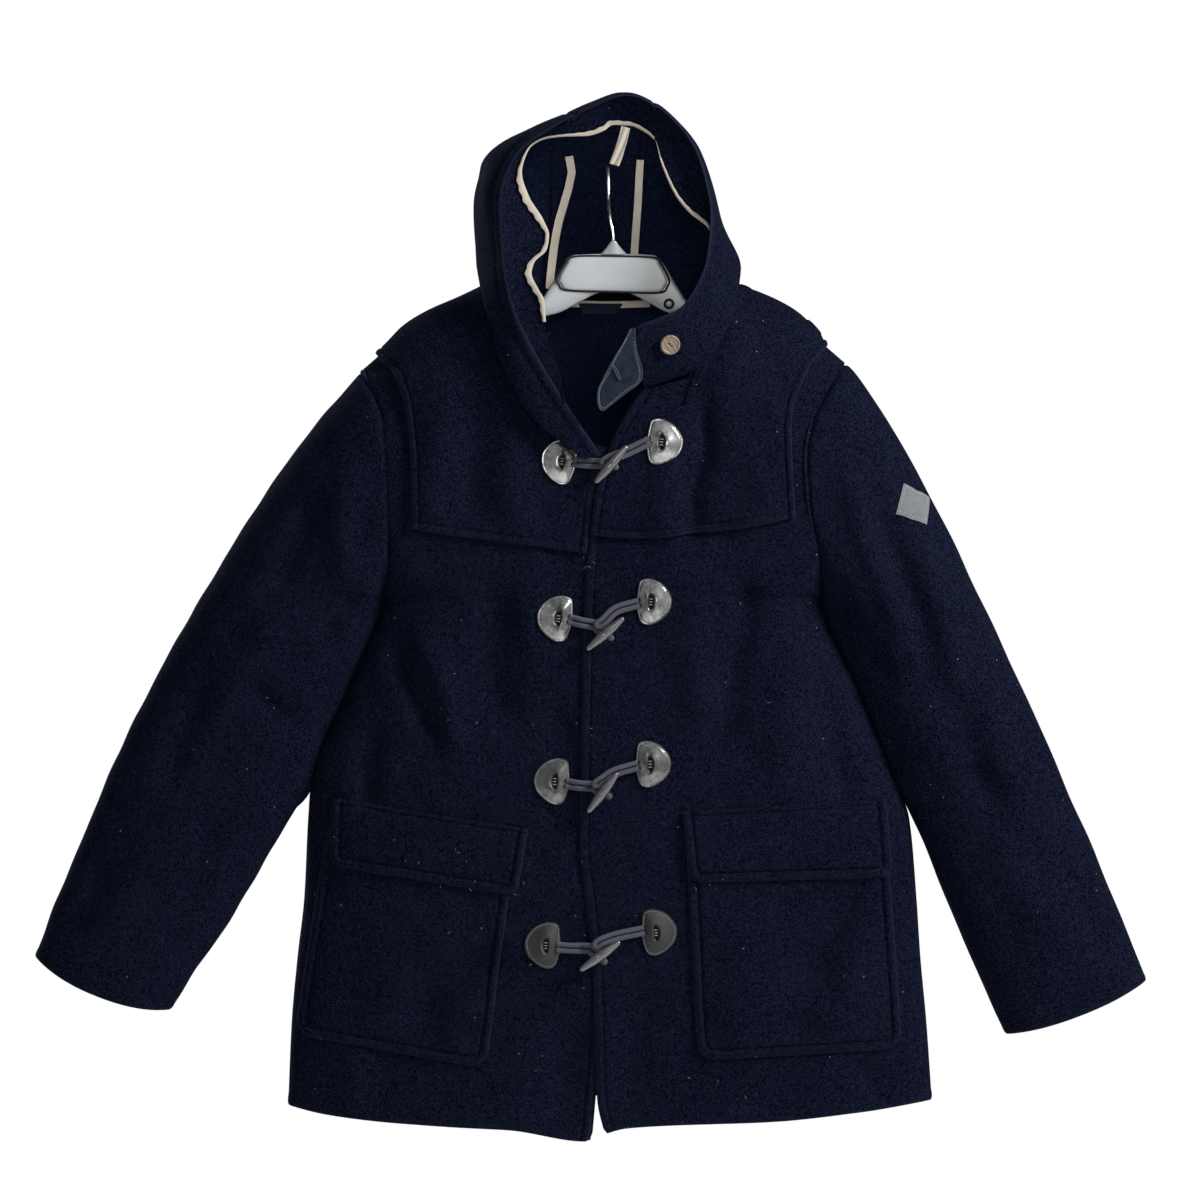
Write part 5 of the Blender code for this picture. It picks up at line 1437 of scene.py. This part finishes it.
def throat_button():
    """Turned disc with a low rim and two holes."""
    station, depth = locate(hood_point, BUTTON_X, BUTTON_Z, (12, 15), (0, 1))
    place, across, up, out = frame_at(hood_point, station, depth)
    a, b = np.meshgrid(np.linspace(-1, 1, 57), np.linspace(-1, 1, 57))
    reach = np.maximum(np.abs(a), np.abs(b)) / np.maximum(np.hypot(a, b), 1e-9)
    a, b = a * reach, b * reach
    radius = np.hypot(a, b)
    rim = 0.0007 * bell(radius - 0.86, 0.1) - 0.0009 * held((radius - 0.9) / 0.1) ** 2
    holes = np.max([np.exp(-(np.hypot(a - sign * 0.12, b + sign * 0.10) / 0.085) ** 4)
                    for sign in (-1, 1)], axis=0)
    height = LAY + 0.0040 + rim - 0.0030 * holes
    points = (place + 0.010 * (a[..., None] * across + b[..., None] * up)
              + height[..., None] * out)
    cloth("throat_button", points, "wood", wall=0.0030, edge=holes)


def badge_places():
    """Ring and angle of the sleeve under the badge's corners and the middles of two edges."""
    corners = spots(BADGE["x"], BADGE["z"])
    found = []
    for v in (0, 1):
        row = []
        for u in (0, 0.5, 1):
            x, z = ((1 - v) * ((1 - u) * corners[3] + u * corners[2])
                    + v * ((1 - u) * corners[0] + u * corners[1]))
            row.append(locate(lambda a, b: sleeve_point("right", a, b), x, z, (0, 0.5), (0.3, 2.8)))
        found.append(row)
    return np.array(found)


BADGE_PLACES = badge_places()


def badge_point(u, v, lift):
    """A place on the badge, u along it and v up, with lift over its cloth."""
    low, high = ([np.interp(u, (0, 0.5, 1), row[:, k]) for k in (0, 1)] for row in BADGE_PLACES)
    ring, angle = ((1 - v) * one + v * two for one, two in zip(low, high))
    lift = lift + sleeve_lift("right", ring, angle)[0] + 0.0014
    return sleeve_point("right", ring, angle, lift)


def sleeve_badge():
    u, v = np.meshgrid(np.linspace(0, 1, 31), np.linspace(0, 1, 27))
    away = np.minimum(np.minimum(u, 1 - u) * BADGE_CUT[0], np.minimum(v, 1 - v) * BADGE_CUT[1])
    lift = 0.0004 * bell(away - 0.0012, 0.0008) - 0.0003 * bell(away - 0.0024, 0.0005)
    points = badge_point(u, v, lift)
    sheet("sleeve_badge", points, "badge", (0.034, 0.031), rests_on="coat_sleeve_right", wall=TAPE,
          scale=BADGE_CUT)
    corners = [(0.08, 0.09), (0.92, 0.09), (0.92, 0.91), (0.08, 0.91)]
    edge = np.concatenate([np.linspace(start, end, 20)
                           for start, end in zip(corners, corners[1:] + corners[:1])])
    path = badge_point(edge[:, 0], edge[:, 1], 0.0)
    out = (badge_point(edge[:, 0], edge[:, 1], 0.001) - path) * 1000
    stitches("badge_stitching", path, out, "badge_thread", 0.0015, 0.0006, 0.00022)


def neck_trim():
    """Tape over the back neck seam, and the bare label under it."""
    x = np.linspace(-0.042, 0.042, 40)[None, :]
    near = (0, 0.4, 0.9, 1.4)
    v = graded(0.006, near, near, 0.0008)[:, None]
    z = smooth(x, BACK_NECK["x"], BACK_NECK["z"]) - 0.0006 - 0.0070 * (1 - v)
    points = on_body(x, z, "back", -(CLOTH + 0.0014))
    sheet("neck_tape", points, "tape", (0.012, 0.092), rests_on="coat_back", wall=TAPE, flip=True,
          scale=(0.14, 0.006))
    u, v = np.meshgrid(np.linspace(0, 1, 40), np.linspace(0, 1, 16))
    x = (-0.027 + 0.034 * u) * (1 - v) + (-0.031 + 0.045 * u) * v
    away = np.minimum(np.minimum(u, 1 - u) * 0.04, np.minimum(v, 1 - v) * 0.0105)
    lift = -(CLOTH + 0.0030) - 0.0003 * bell(away - 0.0008, 0.0005)
    points = on_body(x, -0.1445 + 0.0105 * v, "back", lift)
    sheet("neck_label", points, "label", (0.046, 0.013), rests_on="coat_back", wall=TAPE,
          flip=True, scale=(0.045, 0.011))


# Inside of the hood

# Free edge of the facing inside the rim: station of the rim beside it in thousandths, place, and
# width of its binding
FACING = table("station x y z wide", (1000, -44, -78, -238, 0.5), (1400, -47, -76, -219, 0.6),
    (1800, -51, -73, -203, 0.8), (2250, -58, -70, -181, 1.0), (2700, -64, -66, -156, 2.2),
    (3100, -65, -62, -137, 5.0), (3350, -71, -58, -125, 6.0), (3650, -78, -52, -109, 6.5),
    (3900, -75, -46, -97, 5.5), (4200, -63, -41, -84, 3.0), (4450, -61, -38, -70, 6.5),
    (4750, -67, -36, -54, 7.5), (5200, -81, -33, -31, 6.5), (5700, -88, -30, -7, 2.6),
    (6250, -80, -27, 18, 0.7), (6600, -62, -25, 28, 0.7), (6850, -47, -24, 30, 2.2),
    (7200, -22, -22, 31, 4.0), (7500, -6, -21, 36, 4.5), (7700, 4, -20, 42, 5.0),
    (8050, 21, -20, 41, 6.0), (8500, 35, -21, 35, 5.5), (9100, 47, -24, 24, 3.5),
    (9600, 52, -27, 5, 2.5), (9950, 58, -30, -11, 3.0), (10350, 68, -33, -31, 4.0),
    (10700, 80, -35, -46, 2.5), (11300, 101, -40, -66, 2.0), (12000, 103, -50, -90, 2.0),
    (12800, 92, -62, -122, 2.0))
BOUND = 34      # the column at which the binding starts
# Middle lines of the tapes over the two long seams, and of the one that hangs from the top
SEAM_TAPES = {
    "left": (7.0, [(-42, 16), (-39, 8), (-40, -8), (-47, -35), (-53, -58), (-58, -92),
                   (-61, -121)]),
    "right": (9.0, [(33, 12), (32, 0), (30, -35), (28, -60), (26, -89), (25, -118)]),
}
TAPE_WIDE = 0.0078
TAPE_EDGE = (0, 0.5, 1.2)


def facing():
    """Loose facing between the rim and a wavy free edge that is bound with tape."""
    rows = np.arange(len(FACING["station"]))
    at = np.linspace(0, rows[-1], 240)
    line = {name: smooth(at, rows, column) for name, column in FACING.items()}
    edge = flowing(spots(*(line[axis] for axis in "xyz")), 240)
    t = graded(0.05, (0, 2), (0, 1.5, 3, 4.5), 0.0036)[:, None, None]
    start = hood_point(line["station"], 0.012, -(CLOTH + 0.0006))
    ahead = hood_point(line["station"], 0.11, -(CLOTH + 0.0030))
    points = (1 - t) ** 2 * start + 2 * t * (1 - t) * ahead + t**2 * edge
    sheet("hood_facing", points, "wool", (0.055, 0.70), rests_on="coat_hood_left", wall=0.0016,
          flip=True, scale=(0.9, 0.05))
    inward = unit(points[-5] - points[-1])[BOUND:]
    v = graded(0.006, (0, 0.4, 0.9), (0, 0.4, 0.9), 0.0012)[:, None, None]
    wide = (line["wide"] * (0.9 + 0.1 * np.sin(40 * at)))[BOUND:, None]
    over = np.array([0, -0.0012, 0]) + np.array([0, -0.0006, 0]) * np.sin(np.pi * v)
    band = edge[BOUND:] - 0.0008 * inward + over + inward * wide * v
    # the tape's darker copy, painted darker against the key light on the facing's edge
    sheet("facing_binding", band, "binding", (0.010, 0.51), rests_on="coat_hood_facing", wall=TAPE,
          flip=True, scale=(0.9, 0.006))


def seam_tapes():
    for side, (seam, line) in SEAM_TAPES.items():
        middle = flowing(np.array(line) * MM, 9)
        run = unit(np.gradient(middle, axis=0))
        across = spots(-run[:, 1], run[:, 0])
        places = np.array([[locate(hood_point, x, z, (seam - 2.5, seam + 2.5), (0.3, 1.0))
                            for x, z in middle + share * TAPE_WIDE * across]
                           for share in (-0.5, 0.0, 0.5)])
        at, v = np.linspace(0, 1, 70), graded(TAPE_WIDE, TAPE_EDGE, TAPE_EDGE, 0.001)
        along_tape = np.stack([sampled(at, np.linspace(0, 1, 9), row) for row in places], axis=1)
        station, depth = np.moveaxis([sampled(v, (0, 0.5, 1), row) for row in along_tape], -1, 0)
        points = hood_point(station, depth, -(2 * CLOTH + 0.0018))
        sheet("hood_tape_" + side, points, "tape", (0.0115, 0.17), rests_on="coat_hood_centre",
              wall=TAPE, scale=(TAPE_WIDE, 0.15))


def hanging_tape():
    """Short tape that hangs from the facing's binding in front of the hook."""
    v, u = np.linspace(0, 1, 28)[:, None], graded(0.009, TAPE_EDGE, TAPE_EDGE, 0.001)[None, :]
    x = 0.0165 - 0.0115 * v + 0.0012 * np.sin(3 * v) + (u - 0.5) * 0.0088
    y = -0.0225 - 0.0022 * np.sin(2.5 * v) + 0.0006 * np.sin(9 * u + 4 * v)
    z = 0.0385 - 0.0375 * v - (u - 0.5) * 0.0026
    points = spots(x, y, z)
    # the tape's darker copy, the one painted darker against the key light on the binding
    sheet("hanging_tape", points, "binding", (0.0115, 0.042), rests_on="coat_facing_binding",
          wall=TAPE, scale=(0.009, 0.04))


# Hanger

HANGER_MIDDLE = 0.0045
HANGER_REACH = 0.196
FRONT_OF_HANGER = -0.0055
HANGER_TOP = table("x z", (0, -86.5), (40, -88), (50, -97), (62, -117), (78, -138), (120, -146))
HANGER_BOTTOM = table("x z", (0, -124.5), (14, -126), (30, -133), (55, -146), (66, -149),
    (120, -163), (196, -184))
PANEL = np.array([(-36, -90), (4, -89.5), (45, -91), (52, -97), (60, -113), (58, -120), (50, -126),
                  (4, -125), (-42, -123.5), (-50, -118), (-52, -112), (-44, -97)]) * MM
# The raised panel's rings: share of its outline, and height in millimetres
PANEL_STEPS = ((1.0, 0.0), (0.995, 0.5), (0.985, 1.0), (0.965, 1.35), (0.93, 1.5), (0.8, 1.6),
               (0.6, 1.7), (0.4, 1.7), (0.2, 1.7), (0.03, 1.7))
HOOK_LOOP = 0.021
WIRE_RADIUS = 0.0014


def hanger():
    """Curved bar with a raised middle panel, a near-black rod round the panel as painted shadow in
    its groove, and a rivet ringed with painted shadow.
    """
    x = HANGER_REACH * np.linspace(-1, 1, 141)
    top = smooth(np.abs(x), HANGER_TOP["x"], HANGER_TOP["z"])
    below_ridge = smooth(x + HANGER_MIDDLE, RIDGE["x"], RIDGE["z"]) - CLOTH - 0.0026
    top = top + (below_ridge - top) * held((np.abs(x) - 0.115) / 0.03)
    bottom = np.minimum(smooth(np.abs(x), HANGER_BOTTOM["x"], HANGER_BOTTOM["z"]), top - 0.014)
    angle = full_turn(33)[None, :]
    ends = round_ends(141, 0.25, 10)[:, None]
    y = -FRONT_OF_HANGER * np.sign(np.cos(angle)) * np.abs(np.cos(angle)) ** 0.35 * ends
    up = np.sign(np.sin(angle)) * np.abs(np.sin(angle)) ** 0.8
    z = 0.5 * (top + bottom)[:, None] + 0.5 * (top - bottom)[:, None] * up * ends
    points = spots((x + HANGER_MIDDLE)[:, None], y, z)
    closed("hanger_body", points, "plastic", 40)
    edge = closed_curve(PANEL, 120)
    middle = np.array([HANGER_MIDDLE, -0.107])
    points = [raised(middle + (edge - middle) * 0.965 * share, FRONT_OF_HANGER - height * MM)
              for share, height in PANEL_STEPS]
    closed("hanger_panel", np.array(points), "plastic", 40)
    # near-black rod: painted shadow of the groove round the panel
    rod("hanger_groove", raised(edge, FRONT_OF_HANGER - 0.0002), 0.0011, "groove", sides=8)
    rivet = np.array([0.060, FRONT_OF_HANGER, -0.137])
    turn = full_turn(41)
    circle = rivet + 0.0042 * spots(np.cos(turn), 0, np.sin(turn))
    # near-black ring: painted shadow round the rivet
    rod("hanger_rivet_ring", circle, 0.0012, "groove", sides=8)
    span = np.linspace(-1, 1, 11)
    dome = rivet + np.array([0, 0.0010, 0]) * span[:, None]
    rod("hanger_rivet", dome, 0.0031 * np.sqrt(np.maximum(0.01, 1 - span**2)), "plastic",
        sides=18, up=(0, 0, 1))


def collar_and_hook():
    """Ribbed foot of the hook, and its wire."""
    angle = full_turn(61)[None, :]
    t = np.linspace(0, 1, 16)[:, None]
    radius = (0.0105 * (1 - t) ** 1.15 + 0.0026) * (1 + 0.10 * np.abs(np.sin(3 * angle)) * (1 - t))
    points = spots(HANGER_MIDDLE + radius * np.cos(angle), 0.5 * radius * np.sin(angle),
                   -0.0875 + 0.0135 * t)
    closed("hanger_collar", points, "plastic", 40)
    turn = np.radians(np.linspace(-50, 211, 60))
    loop = HOOK_LOOP * spots(0, np.cos(turn), np.sin(turn))
    loop += (0, 0, -HOOK_LOOP - 0.0015)
    loop[:, 0] -= 0.0012 * np.sin(np.linspace(0, np.pi, 60))
    foot = np.array([(HANGER_MIDDLE, 0, -0.0742), (HANGER_MIDDLE - 0.0006, 0, -0.066),
                     (0.0015, 0.002, -0.054), (0.0004, 0.008, -0.044)])
    path = flowing(np.concatenate([foot, loop[::4]]), 160)
    rod("hanger_hook", path, WIRE_RADIUS * round_ends(160, 0.5, 60), "wire", sides=12,
        up=(1, 0, 0))


def lint():
    """A few pale fibres that have settled on the wool, mostly along its edges."""
    random = np.random.default_rng(7)
    joined = bmesh.new()
    for x, z, spread, count in LINT:
        for _ in range(count):
            at = np.array([x, z]) * MM + random.normal(0, spread * MM, 2)
            heading, bend = random.uniform(0, np.pi), random.uniform(-1, 1)
            t = np.linspace(-0.5, 0.5, 7)
            long = random.uniform(0.0012, 0.0038)
            run = spots(t, bend * (0.25 - t**2)) * long
            x_run, z_run = (at + run @ turned(heading)).T
            lift = 0.0005 + LAP * (abs(at[0] + 0.009) > 0.01)
            add_thread(joined, on_body(x_run, z_run, "front", lift), 0.00013, 5)
    settle(joined, "lint", "lint")


LINT = (
    (-14, -330, 3, 2), (-18, -390, 4, 4), (-20, -400, 3, 3), (-22, -560, 6, 3),
    (60, -640, 40, 3), (-110, -540, 50, 3), (130, -470, 50, 3), (-170, -700, 30, 5),
    (-120, -712, 25, 5), (-60, -880, 20, 3), (200, -640, 50, 3), (120, -905, 40, 3),
    (-40, -800, 18, 4),
)


# Stage

def floor():
    bm = bmesh.new()
    bmesh.ops.create_grid(bm, x_segments=1, y_segments=1, size=6)
    bmesh.ops.translate(bm, verts=bm.verts[:], vec=(0, 0, -1.9))
    item = item_from(bm, "floor")
    item.data.materials.append(PAINTS["floor"])


def light(name, place, aim, size, power, colour):
    data = bpy.data.lights.new(name, "AREA")
    data.shape = "DISK"
    data.size = size
    data.energy = power
    data.color = colour
    item = bpy.data.objects.new(name, data)
    item.location = place
    item.rotation_euler = (Vector(aim) - Vector(place)).to_track_quat("-Z", "Y").to_euler()
    bpy.context.scene.collection.objects.link(item)


def studio():
    """Plain floor, soft light and a camera square on."""
    floor()
    scene = bpy.context.scene
    scene.world = bpy.data.worlds.new("studio")
    scene.world.use_nodes = True
    background = scene.world.node_tree.nodes["Background"].inputs
    background["Color"].default_value = (1.0, 1.0, 1.0, 1.0)
    background["Strength"].default_value = 1.0
    scene.view_settings.view_transform = "Standard"
    light("key", (2.5, -1.4, 1.3), (0.1, 0, -0.45), 1.2, 700, (1.0, 0.99, 0.98))
    light("front", (0.5, -4.4, 0.5), (0, 0, -0.35), 2.0, 130, (0.99, 0.99, 1.0))
    light("back", (-3.0, 2.6, 1.6), (0, 0, -0.5), 1.6, 800, (0.99, 0.99, 1.0))
    data = bpy.data.cameras.new("camera")
    data.sensor_width = 36
    data.lens = 239.8
    data.clip_end = 40
    scene.camera = bpy.data.objects.new("camera", data)
    scene.camera.location = (-0.0085, -8.0, -0.4335)
    scene.camera.rotation_euler = (math.radians(90), 0, 0)
    scene.collection.objects.link(scene.camera)


def main():
    for side in ("left", "right"):
        front_panel(side)
        front_yoke(side)
        sleeve(side)
    back_panel()
    back_yoke()
    hood()
    for number, name in enumerate(PATCHED_NAMES):
        flat_piece(name, number)
    fastenings()
    throat_tab()
    throat_button()
    sleeve_badge()
    neck_trim()
    facing()
    seam_tapes()
    hanging_tape()
    hanger()
    collar_and_hook()
    lint()
    studio()


main()
